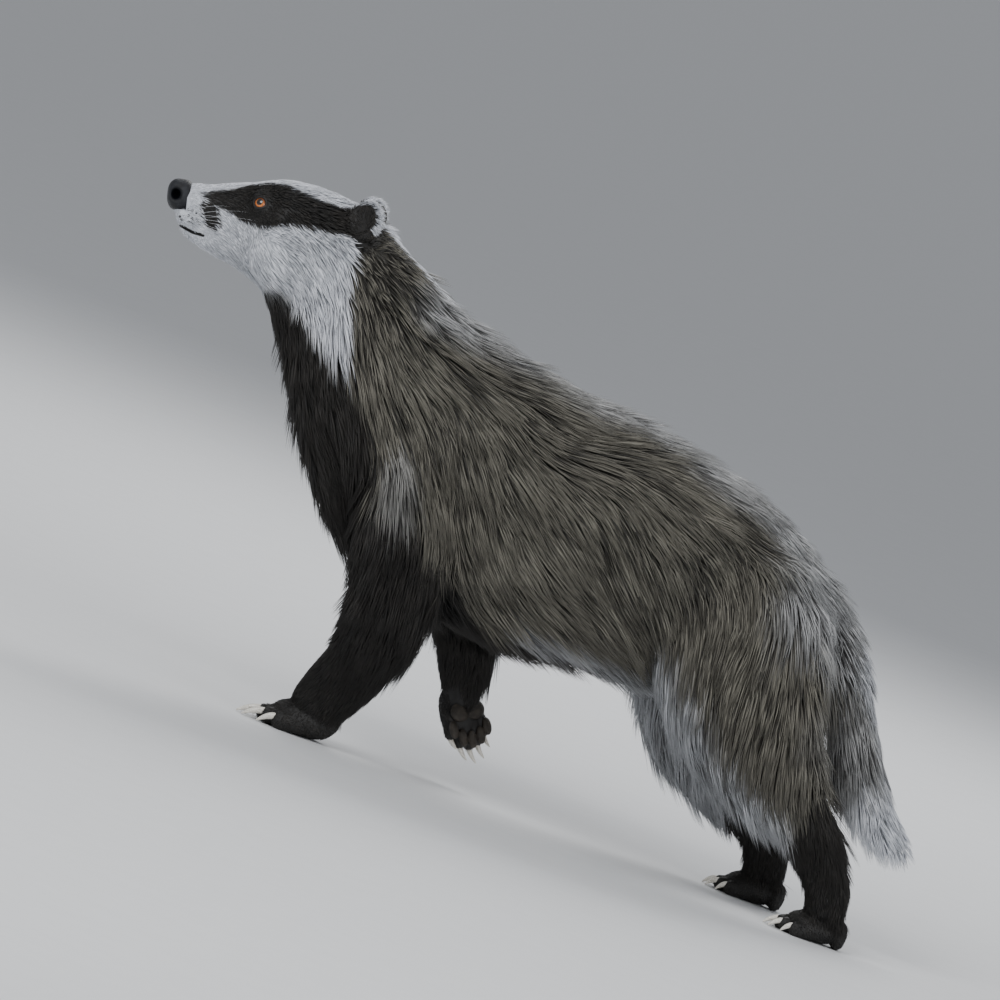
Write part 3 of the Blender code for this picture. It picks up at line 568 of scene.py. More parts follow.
def atlas_place(part, place):
    boxes = np.array([ATLAS[name] for name in BODY_PARTS])[part]
    low, high = boxes[:, :2] + ATLAS_MARGIN, boxes[:, 2:] - ATLAS_MARGIN
    return low + np.clip(place, 0.0, 1.0) * (high - low)


lie = Lie()
print("hoops in the field:", len(lie.table["rows"]))

# %% Thin the skin where hair will cover it
THICK_COAT = 0.0065


def skin_arrays(made):
    made.data.calc_loop_triangles()
    points = np.empty(len(made.data.vertices) * 3)
    made.data.vertices.foreach_get("co", points)
    corners = np.empty(len(made.data.loop_triangles) * 3, int)
    made.data.loop_triangles.foreach_get("vertices", corners)
    return points.reshape(-1, 3), corners.reshape(-1, 3)


def thin_covered(made):
    points, _ = skin_arrays(made)
    depth = lie.at(points)[1]
    covered = np.flatnonzero(depth > THICK_COAT)
    group = made.vertex_groups.new(name="covered")
    group.add(covered.tolist(), 1.0, "REPLACE")
    share = len(covered) / len(depth)
    thin = made.modifiers.new("thin", "DECIMATE")
    thin.use_collapse_triangulate = True
    thin.vertex_group = group.name
    thin.ratio = 1 - share * (1 - COVERED_SHARE)
    apply_modifiers(made)
    made.data.shade_smooth()
    return share


print("covered share of the skin:", round(thin_covered(skin), 2))
print("thinned skin:", len(skin.data.polygons), "faces")
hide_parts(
    "head", "neck", "torso", "tail", "ear_left", "ear_right", "foreleg_left", "foreleg_right",
    "hindleg_left", "hindleg_right", "paw_fore_left", "paw_fore_right", "paw_hind_left", "paw_hind_right",
)
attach(skin, "root")

# %% [markdown]
# ## Where hair grows, and how long it is
#
# Each triangle of the skin gets a direction, a length and a rise for the hair on it. Length
# follows the depth of the coat: a few millimetres on the snout and the feet, several centimetres
# on the body. The soles, the eyes, the nose and the lips stay bare. On the ears the hair turns
# outwards to the rim, and round eyes and ears it is short enough not to hide them.

# %% Measure the skin's triangles
skin_points, skin_triangles = skin_arrays(skin)
tri_corners = skin_points[skin_triangles]
tri_middle = tri_corners.mean(axis=1)
tri_cross = np.cross(tri_corners[:, 1] - tri_corners[:, 0], tri_corners[:, 2] - tri_corners[:, 0])
tri_area = np.linalg.norm(tri_cross, axis=1) / 2
tri_normal = unit(tri_cross)
skin_tree = BVHTree.FromPolygons(skin_points.tolist(), skin_triangles.tolist())
tri_along, tri_depth, tri_part, tri_place = lie.at(tri_middle)
print("skin area", round(float(tri_area.sum()), 3), "m2, triangles", len(tri_area))


# %% Turn the field into a direction on the surface
TAIL_STAND_OFF = 0.26
STAND_OFF_END = 0.95


def by_part(values, otherwise):
    return np.array([values.get(name, otherwise) for name in BODY_PARTS])[tri_part]


def combed(along, middle, normal, free):
    """Direction on the skin. Tail hair, which is free, stands off a little below."""
    steep = 1.0 - np.abs(normal[:, 2])
    fall = np.interp(middle[:, 0] - SHIFT[0], *np.transpose(HAIR_FALL))
    way = unit(along) - np.array([0.0, 0.0, 1.0]) * (steep * fall)[:, None]
    on_skin = way - (way * normal).sum(axis=1, keepdims=True) * normal
    before_tip = np.clip((STAND_OFF_END - tri_place[:, 0]) / 0.3, 0.0, 1.0)
    spread = (np.where(normal[:, 0] > 0, 0.0, TAIL_STAND_OFF) * before_tip)[:, None]
    return unit(np.where(free[:, None], unit(along) + spread * normal, on_skin))


flies = by_part({"tail": True}, False)
tri_way = combed(tri_along, tri_middle, tri_normal, flies)
print("tail triangles:", int(flies.sum()))

# %% How long the hair is on body, legs and tail, and how far it stands off
LENGTH_SHARE = 3.3
SHORTEST_HAIR = 0.0030
TAIL_BRUSH = [(0.0, 0.030), (0.30, 0.036), (0.55, 0.050), (0.80, 0.034), (1.0, 0.014)]
TAIL_RISE = 0.40
PART_FLARE = {"head": 0.2, "tail": 0.0}
PART_HANG = {"head": 0.05, "tail": 0.22}
BODY_HANG = 0.15
HANG_BELOW = 1.2
LEG_DEPTH = 0.013
LEG_FEATHER = 0.7
LEG_RISE = 0.0024
THIGH_RISE = 0.0060
FEATHER_ABOVE = 0.030


def looks_back(start):
    """0 where the skin looks ahead or sideways, 1 where it looks back."""
    return np.clip((tri_normal[:, 0] - start) / 0.5, 0.0, 1.0)


brush = np.interp(tri_place[:, 0], *np.transpose(TAIL_BRUSH))
tri_length = np.maximum(tri_depth * LENGTH_SHARE, SHORTEST_HAIR)
tri_length = np.where(flies, np.minimum(tri_length, brush), tri_length)
tri_rise = tri_depth * SKIN_INSET * np.where(flies, TAIL_RISE, 1.0)
tri_flare = by_part(PART_FLARE, 1.0)
below = np.clip(0.5 - tri_normal[:, 2], 0.0, HANG_BELOW) / HANG_BELOW
tri_hang = by_part(PART_HANG, BODY_HANG) * below
leg = by_part({"head": 0.0, "trunk": 0.0, "tail": 0.0}, 1.0) * (tri_depth < LEG_DEPTH)
feather = leg * looks_back(0.15) * (tri_middle[:, 2] > FEATHER_ABOVE)
tri_length *= 1.0 + LEG_FEATHER * feather
tri_rise += LEG_RISE * feather
thigh = by_part({"hindleg_left": 1.0, "hindleg_right": 1.0}, 0.0) * (tri_depth >= LEG_DEPTH)
tri_rise += THIGH_RISE * thigh * looks_back(0.2)
print("longest hair", round(float(tri_length.max()), 3), "m")

# %% Short hair and bare skin on paws, nose, eyes, ears and lips
BARE_BELOW = 0.004
PAW_HAIR = 0.0032
PAW_RISE = 0.0010
PAW_LOW, PAW_HIGH = (-0.040, -0.034, -0.010), (0.052, 0.034, 0.030)
BARE_SOLE = 0.0046
BARE_ROUND_NOSE = 0.0012
BARE_LIDS = (0.0078, 0.0062)
EYE_REACH = 0.012
EAR_BASE_BACK = 0.010
EAR_LEAN = (-0.012, 0.0, 0.016)
EAR_HAIR = 0.0055
EAR_RISE = 0.0010
RIM_FROM, RIM_TO = -0.30, 2.30
RIM_INSIDE = 0.84
BARE_LIPS = 0.0016
bare = tri_middle[:, 2] < BARE_BELOW
on_ear = np.zeros(len(tri_way), bool)


def paw_hair(name):
    place, size = paw_place(name)
    back = np.array(place.inverted())
    local = (tri_middle - SHIFT) @ back[:3, :3].T + back[:3, 3]
    here = ((local > np.array(PAW_LOW) * size) & (local < np.array(PAW_HIGH) * size)).all(axis=1)
    tri_length[here] = PAW_HAIR
    tri_rise[here] = PAW_RISE
    bare[here & (local[:, 2] < BARE_SOLE * size)] = True


def from_face(centre, turn):
    """Each triangle's offset from a feature of the face, and the same in the feature's frame."""
    offset = tri_middle - np.array(centre) - SHIFT
    return offset, offset @ np.array(turn)


def eye_hair(sign):
    centre, _, turn = eye_frame(sign)
    offset, local = from_face(centre, turn)
    away = np.linalg.norm(offset, axis=1)
    opening = np.hypot(local[:, 1] / BARE_LIDS[0], local[:, 2] / BARE_LIDS[1]) < 1.0
    bare[(local[:, 0] > 0) & opening & (away < EYE_REACH)] = True
    np.minimum(tri_length, 0.0022 + 0.30 * away, out=tri_length)


def ear_hair(sign):
    centre, faces, turn = ear_frame(sign)
    offset, local = from_face(centre, turn)
    here = np.linalg.norm(local / np.array(EAR_HALF), axis=1) < 1.06
    outward = offset + np.array(faces) * EAR_BASE_BACK + np.array(EAR_LEAN)
    outward -= (outward * tri_normal).sum(axis=1, keepdims=True) * tri_normal
    tri_way[here] = unit(outward)[here]
    away = np.linalg.norm(offset, axis=1)
    np.minimum(tri_length, 0.0045 + 0.55 * np.maximum(away - 0.016, 0.0), out=tri_length)
    tri_length[here] = EAR_HAIR
    tri_rise[here] = EAR_RISE
    on_ear[here] = True
    beside, above = -sign * local[:, 1] / EAR_HALF[1], local[:, 2] / EAR_HALF[2]
    turned = np.arctan2(above, beside)
    edge = (np.hypot(beside, above) > RIM_INSIDE) & (turned > RIM_FROM) & (turned < RIM_TO)
    bare[here & edge] = True


def lip_hair():
    lips = np.array(MOUTH_LINE) + SHIFT[[0, 2]]
    for start, end in zip(lips, lips[1:]):
        line = end - start
        flat = tri_middle[:, [0, 2]] - start
        share = np.clip(flat @ line / (line @ line), 0.0, 1.0)
        away = np.linalg.norm(flat - share[:, None] * line, axis=1)
        bare[away < BARE_LIPS] = True
        np.minimum(tri_length, BARE_LIPS + 0.6 * away, out=tri_length)


for name in CLAW_SHARE:
    paw_hair(name)
_, from_nose = from_face(NOSE_AT, nose_turn())
bare[np.linalg.norm(from_nose / (np.array(NOSE_HALF) + BARE_ROUND_NOSE), axis=1) < 1.0] = True
for sign in SIDES.values():
    eye_hair(sign)
    ear_hair(sign)
lip_hair()
print("bare share", round(float(tri_area[bare].sum() / tri_area.sum()), 3))

# %% [markdown]
# ## Sowing the roots
#
# Roots thrown at random leave bald spots and heaps. Here many are thrown, and one is kept in
# each small cell of a grid, which spreads them evenly but not in rows. The cells are small on
# the face and feet, where the hair is short and fine, and larger on the body.

# %% Spread roots over the skin
THROWN_PER_CELL = 6


def spread_roots(chosen, spacing):
    share = tri_area * chosen
    count = int(share.sum() / spacing**2 * THROWN_PER_CELL)
    index = draw.choice(len(share), size=count, p=share / share.sum())
    u, v = np.sort(draw.random((2, count)), axis=0)
    corners = tri_corners[index]
    points = corners[:, 0] * u[:, None] + corners[:, 1] * (v - u)[:, None]
    points += corners[:, 2] * (1 - v)[:, None]
    cells = np.floor(points / spacing).astype(int)
    _, first = np.unique(cells, axis=0, return_index=True)
    first.sort()
    return points[first], index[first]


FINE_BELOW = 0.0050
SOFT_BELOW = 0.0095
SOWING = {
    "fine": ((tri_depth < FINE_BELOW) | on_ear, 0.00170),
    "soft": ((tri_depth >= FINE_BELOW) & (tri_depth < SOFT_BELOW) & ~on_ear, 0.00215),
    "long": ((tri_depth >= SOFT_BELOW) & ~on_ear, 0.00285),
}
sown = {name: spread_roots(where & ~bare, spacing) for name, (where, spacing) in SOWING.items()}
for name, (points, index) in sown.items():
    print(name, "roots", len(points))

# %% [markdown]
# ## Bending each tuft along the body
#
# A straight hair several centimetres long would stab out of a round flank. So each tuft is led
# along in steps: forward on the surface, down to the nearest point of the skin, up by the
# height that the coat has there, and again with the direction found at the new place. Real fur
# also gathers in locks, because the hairs stick together towards their tips. Every tuft is
# drawn towards a guide near by, hardly at its root and strongly at its tip.

# %% Walk the tufts over the skin, and gather them in locks
SHARES = {"fine": (0.0, 0.5, 1.0), "soft": (0.0, 0.5, 1.0), "long": (0.0, 0.30, 0.65, 1.0)}
GATHER = {"fine": 0.15, "soft": 0.35, "long": 0.45}
LOCK_SPREAD = {"fine": 0.006, "soft": 0.011, "long": 0.016}
FLARE = {"fine": 0.0, "soft": 0.0040, "long": 0.0110}
ROOT_SINK = 0.0008
SWING, OWN_SWING = 0.17, 0.07
LENGTH_RANGE, LENGTH_WAVE = (0.75, 1.12), 0.14
RISE_RANGE, LEAST_RISE = (0.50, 1.05), 0.10
SHORT_TUFT = 0.03
WAVE_COUNT = 5
GUIDE_NEAR, TIPS_NEAR = 1.6, 2.5
PULL_POWER = 1.5


def waves(points, size, seed):
    turns = np.random.default_rng(seed)
    total = np.zeros(len(points))
    for _ in range(WAVE_COUNT):
        pull = unit(turns.normal(size=3)) * 2 * math.pi / size * turns.uniform(0.7, 1.5)
        total += np.sin(points @ pull + turns.uniform(0, 2 * math.pi))
    return total / 2.2


def walk(roots, index, shares):
    count = len(roots)
    swing = waves(roots, 0.10, 3) * SWING + draw.normal(0, OWN_SWING, count)
    length = tri_length[index] * draw.uniform(*LENGTH_RANGE, count)
    length *= 1.0 + LENGTH_WAVE * waves(roots, 0.04, 5)
    rise = tri_rise[index] * draw.uniform(*RISE_RANGE, count)
    rise = np.maximum(rise, LEAST_RISE * length)
    hang = np.outer(tri_hang[index] * length, (0.0, 0.0, -1.0))
    spot, face = roots, index
    path, normals, sideways = [], [], []
    for number, share in enumerate(shares):
        normal, way = tri_normal[face], tri_way[face]
        if number:
            normal = unit(normal + normals[-1])
        across = unit(np.cross(normal, way))
        height = rise * math.sin(share * math.pi / 2) - ROOT_SINK * (1 - share)
        path.append(spot + normal * height[:, None] + hang * share**2)
        normals.append(normal)
        sideways.append(across)
        if share < 1.0:
            step = (shares[number + 1] - share) * length
            ahead = spot + (way + across * swing[:, None]) * step[:, None]
            found = [skin_tree.find_nearest(point) for point in ahead.tolist()]
            near = np.array([place for place, *_ in found])
            face = np.array([hit for _, _, hit, _ in found])
            past = (np.linalg.norm(near - ahead, axis=1) > 0.5 * step) & (length < SHORT_TUFT)
            past |= flies[index]
            spot = np.where(past[:, None], ahead, near)
    return np.stack(path, 1), np.stack(normals, 1), np.stack(sideways, 1), length


def gather(path, shares, spacing, strength):
    cells = np.floor(path[:, 0] / spacing).astype(int)
    _, guides = np.unique(cells, axis=0, return_index=True)
    tree = KDTree(len(guides))
    for number, guide in enumerate(guides.tolist()):
        tree.insert(path[guide, 0], number)
    tree.balance()
    nearest = guides[[tree.find(point)[1] for point in path[:, 0].tolist()]]
    pull = strength * draw.uniform(0.5, 1.0, len(path))
    roots_near = np.linalg.norm(path[:, 0] - path[nearest, 0], axis=1) < spacing * GUIDE_NEAR
    tips_near = np.linalg.norm(path[:, -1] - path[nearest, -1], axis=1) < spacing * TIPS_NEAR
    pull *= roots_near & tips_near
    weight = pull[:, None, None] * (np.array(shares) ** PULL_POWER)[None, :, None]
    return path + (path[nearest] - path) * weight, nearest


# %% [markdown]
# ## One mesh for many tufts
#
# Particle hair and curves don't survive an export to other programs, so each tuft is a closed
# mesh: a thin three-sided blade, widest in the middle, with its ridge outwards and one point at
# its tip. The meshes are filled straight from arrays, because adding thousands of blades face
# by face would take minutes. Each blade remembers its root's place, its own shade and how far
# along it a corner is, and the material turns these into colour.

# %% Build a coat piece from arrays
PATCH = 0.003
WIDTH_AT_LEAST = 0.00062
WIDTH_SHARE = 0.048
RIDGE_SHARE = 0.45


def blade_pattern(rings):
    faces = [(0, 1, 2)]
    for ring in range(rings - 1):
        for side in range(3):
            a, b = 3 * ring + side, 3 * ring + (side + 1) % 3
            faces += [(a, a + 3, b), (b, a + 3, b + 3)]
    last = 3 * (rings - 1)
    faces += [(last + side, 3 * rings, last + (side + 1) % 3) for side in range(3)]
    return np.array(faces)


def set_attribute(mesh, name, kind, values):
    field = "vector" if kind == "FLOAT_VECTOR" else "value"
    made = mesh.attributes.new(name, kind, "POINT")
    made.data.foreach_set(field, np.ascontiguousarray(values, np.float32).ravel())


def mesh_from_arrays(name, points, triangles):
    mesh = bpy.data.meshes.new(name)
    mesh.vertices.add(len(points))
    mesh.vertices.foreach_set("co", points.astype(np.float32).ravel())
    mesh.loops.add(len(triangles) * 3)
    mesh.loops.foreach_set("vertex_index", triangles.astype(np.int32).ravel())
    mesh.polygons.add(len(triangles))
    mesh.polygons.foreach_set("loop_start", np.arange(len(triangles), dtype=np.int32) * 3)
    mesh.update(calc_edges=True)
    mesh.shade_smooth()
    return mesh


def blades(name, tufts, profile, shares):
    path, normals, sideways = tufts["path"], tufts["normals"], tufts["sideways"]
    count, stations = path.shape[:2]
    rings = stations - 1
    width = tufts["width"][:, None] * np.array(profile)[None, :rings]
    half = sideways[:, :rings] * width[:, :, None] / 2
    ridge = normals[:, :rings] * width[:, :, None] * RIDGE_SHARE
    corners = np.stack([path[:, :rings] - half, path[:, :rings] + half, path[:, :rings] + ridge], 2)
    points = np.concatenate([corners.reshape(count, rings * 3, 3), path[:, -1:]], axis=1)
    pattern = blade_pattern(rings)
    each = rings * 3 + 1
    triangles = pattern[None] + (np.arange(count) * each)[:, None, None]
    mesh = mesh_from_arrays(name, points.reshape(-1, 3), triangles.reshape(-1, 3))
    along = np.append(np.repeat(np.array(shares[:rings]), 3), 1.0)
    beside = np.append(np.tile((-0.5, 0.5, 0.0), rings), 0.0)
    patch = np.stack([beside, along - 0.5], axis=1) * PATCH
    uvs = (tufts["atlas"][:, None] + patch[None]).reshape(-1, 2)
    layer = mesh.uv_layers.new(name="OFBake")
    flat = triangles.reshape(-1)
    layer.uv.foreach_set("vector", uvs[flat].astype(np.float32).ravel())
    set_attribute(mesh, "root_place", "FLOAT_VECTOR", np.repeat(tufts["root"], each, axis=0))
    set_attribute(mesh, "along", "FLOAT", np.tile(along, count))
    set_attribute(mesh, "shade", "FLOAT", np.repeat(tufts["shade"], each))
    return new_object(name, mesh)


# %% Grow the coat
PROFILES = {"fine": (0.8, 1.0), "soft": (0.7, 1.0), "long": (0.6, 1.0, 0.75)}
WIDTH_RANGE = (0.75, 1.15)
SHADE_OWN, SHADE_LOCK = 0.55, 0.45
OFF_FLOOR = 0.0006


def grown(kind):
    roots, index = sown[kind]
    path, normals, sideways, length = walk(roots, index, SHARES[kind])
    path, guide = gather(path, SHARES[kind], LOCK_SPREAD[kind], GATHER[kind])
    flare = FLARE[kind] * draw.random(len(roots))[guide] ** 3 * tri_flare[index]
    path += normals * flare[:, None, None] * (np.array(SHARES[kind]) ** 2)[None, :, None]
    path[:, :, 2] = np.maximum(path[:, :, 2], OFF_FLOOR)
    lock_shade = draw.random(len(roots))[guide]
    return {
        "path": path,
        "normals": normals,
        "sideways": sideways,
        "root": roots,
        "width": WIDTH_AT_LEAST + WIDTH_SHARE * tri_depth[index] * draw.uniform(*WIDTH_RANGE, len(roots)),
        "atlas": atlas_place(tri_part[index], tri_place[index]),
        "part": tri_part[index],
        "shade": np.clip(SHADE_OWN * draw.random(len(roots)) + SHADE_LOCK * lock_shade, 0.0, 1.0),
    }


tufts = {kind: grown(kind) for kind in SOWING}
print({kind: len(made["root"]) for kind, made in tufts.items()})

# %% [markdown]
# ## Cutting the coat into pieces
#
# A piece of a few hundred thousand faces is slow to bake and to open elsewhere. The coat is kept
# as one piece for each part of the body and each kind of hair, and the largest are cut again
# along the body. Each rides with the body and takes its finish from the part it covers.

# %% Make the coat's pieces
MOST_TUFTS = {"fine": 18000, "soft": 18000, "long": 11500}
REGIONS = ["head", "body", "forelegs", "forelegs", "hindlegs", "hindlegs", "tail"]
coat = []
for kind, made in tufts.items():
    regions = np.array(REGIONS)[made["part"]]
    for region in sorted(set(REGIONS)):
        members = np.flatnonzero(regions == region)
        members = members[np.argsort(made["root"][members, 0], kind="stable")]
        pieces = max(1, math.ceil(len(members) / MOST_TUFTS[kind]))
        for number, chosen in enumerate(np.array_split(members, pieces), 1):
            if len(chosen):
                some = {key: values[chosen] for key, values in made.items()}
                name = f"coat_{region}_{kind}_{number}"
                piece = blades(name, some, PROFILES[kind], SHARES[kind])
                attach(piece, "root")
                coat.append(piece)
print("coat pieces:", len(coat), "triangles:", sum(len(piece.data.polygons) for piece in coat))

# %% [markdown]
# ## Whiskers
#
# Stiff white whiskers stand in rows on the upper lip, with a few over the eye. They sweep back
# along the cheek. Each is a long thin blade like the hair, dark where it leaves the skin.

# %% Set the whiskers
# x and z of the root, length of the whisker, and how far it points up
WHISKERS = [
    (-0.3335, 0.3815, 0.040, 0.62),
    (-0.3385, 0.3745, 0.030, 0.35),
    (-0.3325, 0.3765, 0.046, 0.44),
    (-0.3270, 0.3805, 0.050, 0.57),
    (-0.3310, 0.3725, 0.046, 0.20),
    (-0.3275, 0.3755, 0.054, 0.34),
    (-0.3225, 0.3785, 0.056, 0.48),
    (-0.3235, 0.3725, 0.050, 0.10),
    (-0.3190, 0.3760, 0.056, 0.24),
    (-0.2900, 0.4200, 0.018, 0.50),
    (-0.2870, 0.4225, 0.020, 0.62),
]
WHISKER_SHARES = (0.0, 0.2, 0.45, 0.75, 1.0)
WHISKER_WIDTH = 0.00042
WHISKER_PROFILE = (1.0, 0.9, 0.7, 0.4)
WHISKER_DROOP = (0.10, 0.0, -0.14)
WHISKER_SPREAD = (0.84, 0.52)


def whisker_tufts():
    path, roots = [], []
    for x, z, length, lift in WHISKERS:
        for sign in SIDES.values():
            start = Vector((x + SHIFT[0], sign * 0.1, z))
            root, normal, *_ = skin_tree.ray_cast(start, Vector((0, -sign, 0)))
            back = Vector((WHISKER_SPREAD[0], sign * WHISKER_SPREAD[1], lift)).normalized()
            droop = Vector(WHISKER_DROOP)
            path.append([
                root + normal * 0.002 * share + back * length * share + droop * length * share**2
                for share in WHISKER_SHARES
            ])
            roots.append(root)
    path = np.array(path)
    count = len(path)
    ways = unit(np.gradient(path, axis=1))
    sideways = unit(np.cross(ways, np.array([0.0, 0.0, 1.0])))
    return {
        "path": path,
        "normals": np.cross(sideways, ways),
        "sideways": sideways,
        "root": np.array(roots),
        "width": np.full(count, WHISKER_WIDTH),
        "atlas": np.column_stack([np.linspace(0.01, 0.99, count), np.full(count, 0.5)]),
        "shade": draw.random(count),
    }


whiskers = blades("whiskers", whisker_tufts(), WHISKER_PROFILE, WHISKER_SHARES)
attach(whiskers, "root")
print("whiskers:", len(WHISKERS) * 2)

# %% [markdown]
# ## White rims on the ears
#
# A badger's black ears end in white tufts along the top and the back of the rim, and their white
# also stands for a painted highlight where a cool light catches the rim. They are rooted on the
# rim itself and lean out and back, so they show from the front and from behind.

# %% Set the rims
RIM_TUFTS = 620
RIM_LENGTH = 0.0066
RIM_WIDTH = 0.0006
RIM_BACK = (0.50, 0.0, -0.30)


def rim_tufts(sign):
    centre, towards, turn = ear_frame(sign)
    angles = draw.uniform(RIM_FROM, RIM_TO, RIM_TUFTS)
    radial = np.column_stack([np.zeros(RIM_TUFTS), -sign * np.cos(angles), np.sin(angles)])
    roots = radial * np.array(EAR_HALF) * draw.uniform(0.78, 1.0, RIM_TUFTS)[:, None]
    roots[:, 0] += draw.uniform(0.0010, 0.0065, RIM_TUFTS)
    roots = roots @ np.array(turn).T + np.array(centre) + SHIFT
    outward = radial @ np.array(turn).T
    away = unit(outward * 0.50 + np.array(towards) * 0.25 + np.array(RIM_BACK))
    away = unit(away + draw.normal(0, 0.12, (RIM_TUFTS, 3)))
    length = RIM_LENGTH * draw.uniform(0.6, 1.1, RIM_TUFTS)
    shares = np.array(SHARES["soft"])
    path = roots[:, None] + away[:, None] * (shares[None] * length[:, None])[:, :, None]
    sideways = unit(np.cross(away, outward))
    return {
        "path": path,
        "normals": np.repeat(np.cross(sideways, away)[:, None], len(shares), axis=1),
        "sideways": np.repeat(sideways[:, None], len(shares), axis=1),
        "root": roots,
        "width": np.full(RIM_TUFTS, RIM_WIDTH),
        "atlas": atlas_place(*(lie.at(roots)[item] for item in (2, 3))),
        "shade": draw.random(RIM_TUFTS),
    }


rims = []
for side, sign in SIDES.items():
    rims.append(blades("ear_rim_" + side, rim_tufts(sign), PROFILES["soft"], SHARES["soft"]))
    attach(rims[-1], "root")
print("ear rim tufts:", RIM_TUFTS * 2)

# %% [markdown]
# ## Eyes and lids
#
# A badger's eye is small and set deep. The ball is a fine sphere whose pole looks out of the
# head, with a slight bulge for the cornea, so that rings round the pole become pupil, iris and
# rim. The bare black edges of the lids follow the almond of the opening, a little outside the
# ball.

# %% Make the eyeballs and the edges of the lids
IRIS_ANGLE = 49.0
CORNEA_BULGE = 0.0005
CORNEA_ANGLE = 34.0
LID_EDGE = (0.00135, 0.00115)
LID_HALF = (0.0061, 0.0053)
LID_ALMOND = 0.12
LID_OUT = 0.0007


def eyeball(side, sign, rings=40, sides=56):
    centre, _, turn = eye_frame(sign)
    shape = bmesh.new()
    bmesh.ops.create_uvsphere(shape, u_segments=sides, v_segments=rings, radius=1.0)
    from_axis, above = [], []
    for vert in shape.verts:
        angle = math.degrees(math.acos(max(-1.0, min(1.0, vert.co.z))))
        from_axis.append(angle / IRIS_ANGLE)
        above.append(vert.co.y)
        radius = EYE_RADIUS + CORNEA_BULGE * math.exp(-((angle / CORNEA_ANGLE) ** 2))
        unit_point = Vector((vert.co.z, vert.co.x, vert.co.y))
        vert.co = centre + turn @ unit_point * radius + Vector(SHIFT)
    bmesh.ops.recalc_face_normals(shape, faces=shape.faces)
    made = from_bmesh("eyeball_" + side, shape)
    set_attribute(made.data, "from_axis", "FLOAT", np.array(from_axis))
    set_attribute(made.data, "above", "FLOAT", np.array(above))
    made.data.shade_smooth()
    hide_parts("eye_" + side)
    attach(made, "root")
    return made


def lid_edges(side, sign, steps=64, sides=10):
    centre, _, turn = eye_frame(sign)
    points = []
    angles = np.linspace(0, 2 * math.pi, steps, endpoint=False)
    for angle in angles:
        across, up = LID_HALF[0] * math.cos(angle), LID_HALF[1] * math.sin(angle)
        up *= 1.0 - LID_ALMOND * math.cos(angle) ** 2
        out = math.sqrt((EYE_RADIUS + LID_OUT) ** 2 - across**2 - up**2)
        points.append(np.array(centre + turn @ Vector((out, across, up))) + SHIFT)
    points = np.array(points)
    ways = unit(np.roll(points, -1, axis=0) - np.roll(points, 1, axis=0))
    outward = unit(points - np.array(centre) - SHIFT)
    beside = unit(np.cross(ways, outward))
    turns = np.linspace(0, 2 * math.pi, sides, endpoint=False)
    thick = np.where(np.sin(angles) > 0, *LID_EDGE)[:, None, None]
    ring = np.cos(turns)[None, :, None] * outward[:, None] + np.sin(turns)[None, :, None] * beside[:, None]
    corners = (points[:, None] + ring * thick).reshape(-1, 3)
    faces = []
    for i in range(steps):
        for j in range(sides):
            a, b = i * sides + j, i * sides + (j + 1) % sides
            c, d = ((i + 1) % steps) * sides + (j + 1) % sides, ((i + 1) % steps) * sides + j
            faces += [(a, b, c), (a, c, d)]
    mesh = mesh_from_arrays("lids", corners, np.array(faces))
    made = new_object("lid_edges_" + side, mesh)
    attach(made, "root")
    return made


eyes = [eyeball(side, sign) for side, sign in SIDES.items()]
lids = [lid_edges(side, sign) for side, sign in SIDES.items()]

# %% [markdown]
# ## Nose
#
# The nose is bare leather, blunt in front, with large round nostrils that open to the sides, and
# a groove down the middle to the lip. It starts as a rounded block that is pushed about vertex by
# vertex, since a few smooth pushes give nostrils with soft rims, where cutting would leave sharp
# ones.

# %% Push a rounded block into a nose
BLOCK_POWER = 2.6
BACK_FILL = 0.75
NOSTRIL_AT = (-0.0022, 0.0006)
NOSTRIL_HALF = (0.0039, 0.0044)
NOSTRIL_DEPTH = 0.0070
NOSTRIL_RIM = 0.0005
GROOVE_DEPTH, GROOVE_HALF = 0.0012, 0.0009
DIP_DEPTH, DIP_HALF = 0.0009, 0.0035


def block(spot, half):
    away = sum(abs(value) ** BLOCK_POWER for value in spot) ** (1 / BLOCK_POWER)
    return Vector(value * size for value, size in zip(spot, half)) / away


def nose_shape(rings=80):
    turn = nose_turn()
    shape = bmesh.new()
    bmesh.ops.create_uvsphere(shape, u_segments=2 * rings, v_segments=rings, radius=1.0)
    inner = []
    for vert in shape.verts:
        spot = block(vert.co.normalized(), NOSE_HALF)
        if spot.x > 0:
            section = block(Vector((0.0, vert.co.y, vert.co.z)).normalized(), NOSE_HALF)
            spot.y += (section.y - spot.y) * BACK_FILL
            spot.z += (section.z - spot.z) * BACK_FILL
        side = math.copysign(1.0, spot.y)
        across = (spot.x - NOSTRIL_AT[0]) / NOSTRIL_HALF[0]
        above = (spot.z - NOSTRIL_AT[1]) / NOSTRIL_HALF[1]
        away = math.sqrt(across**2 + above**2)
        open_here = math.exp(-(away**2.6)) * min(1.0, max(0.0, abs(spot.y) / 0.006 - 0.4))
        spot.y -= side * NOSTRIL_DEPTH * open_here
        spot.y += side * NOSTRIL_RIM * math.exp(-((away - 1.6) ** 2) * 3)
        groove = (spot.y / GROOVE_HALF) ** 2 + (max(spot.z + 0.003, 0.0) / 0.003) ** 2
        spot.x += GROOVE_DEPTH * math.exp(-groove)
        spot.z -= DIP_DEPTH * math.exp(-((spot.y / DIP_HALF) ** 2)) * max(0.0, spot.z / NOSE_HALF[2])
        inner.append(open_here)
        vert.co = Vector(NOSE_AT) + turn @ spot + Vector(SHIFT)
    made = from_bmesh("nose_leather", shape)
    set_attribute(made.data, "inner", "FLOAT", np.array(inner))
    return made


nose = nose_shape()
nose.data.shade_smooth()
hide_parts("nose")
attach(nose, "root")
print("nose faces:", len(nose.data.polygons))

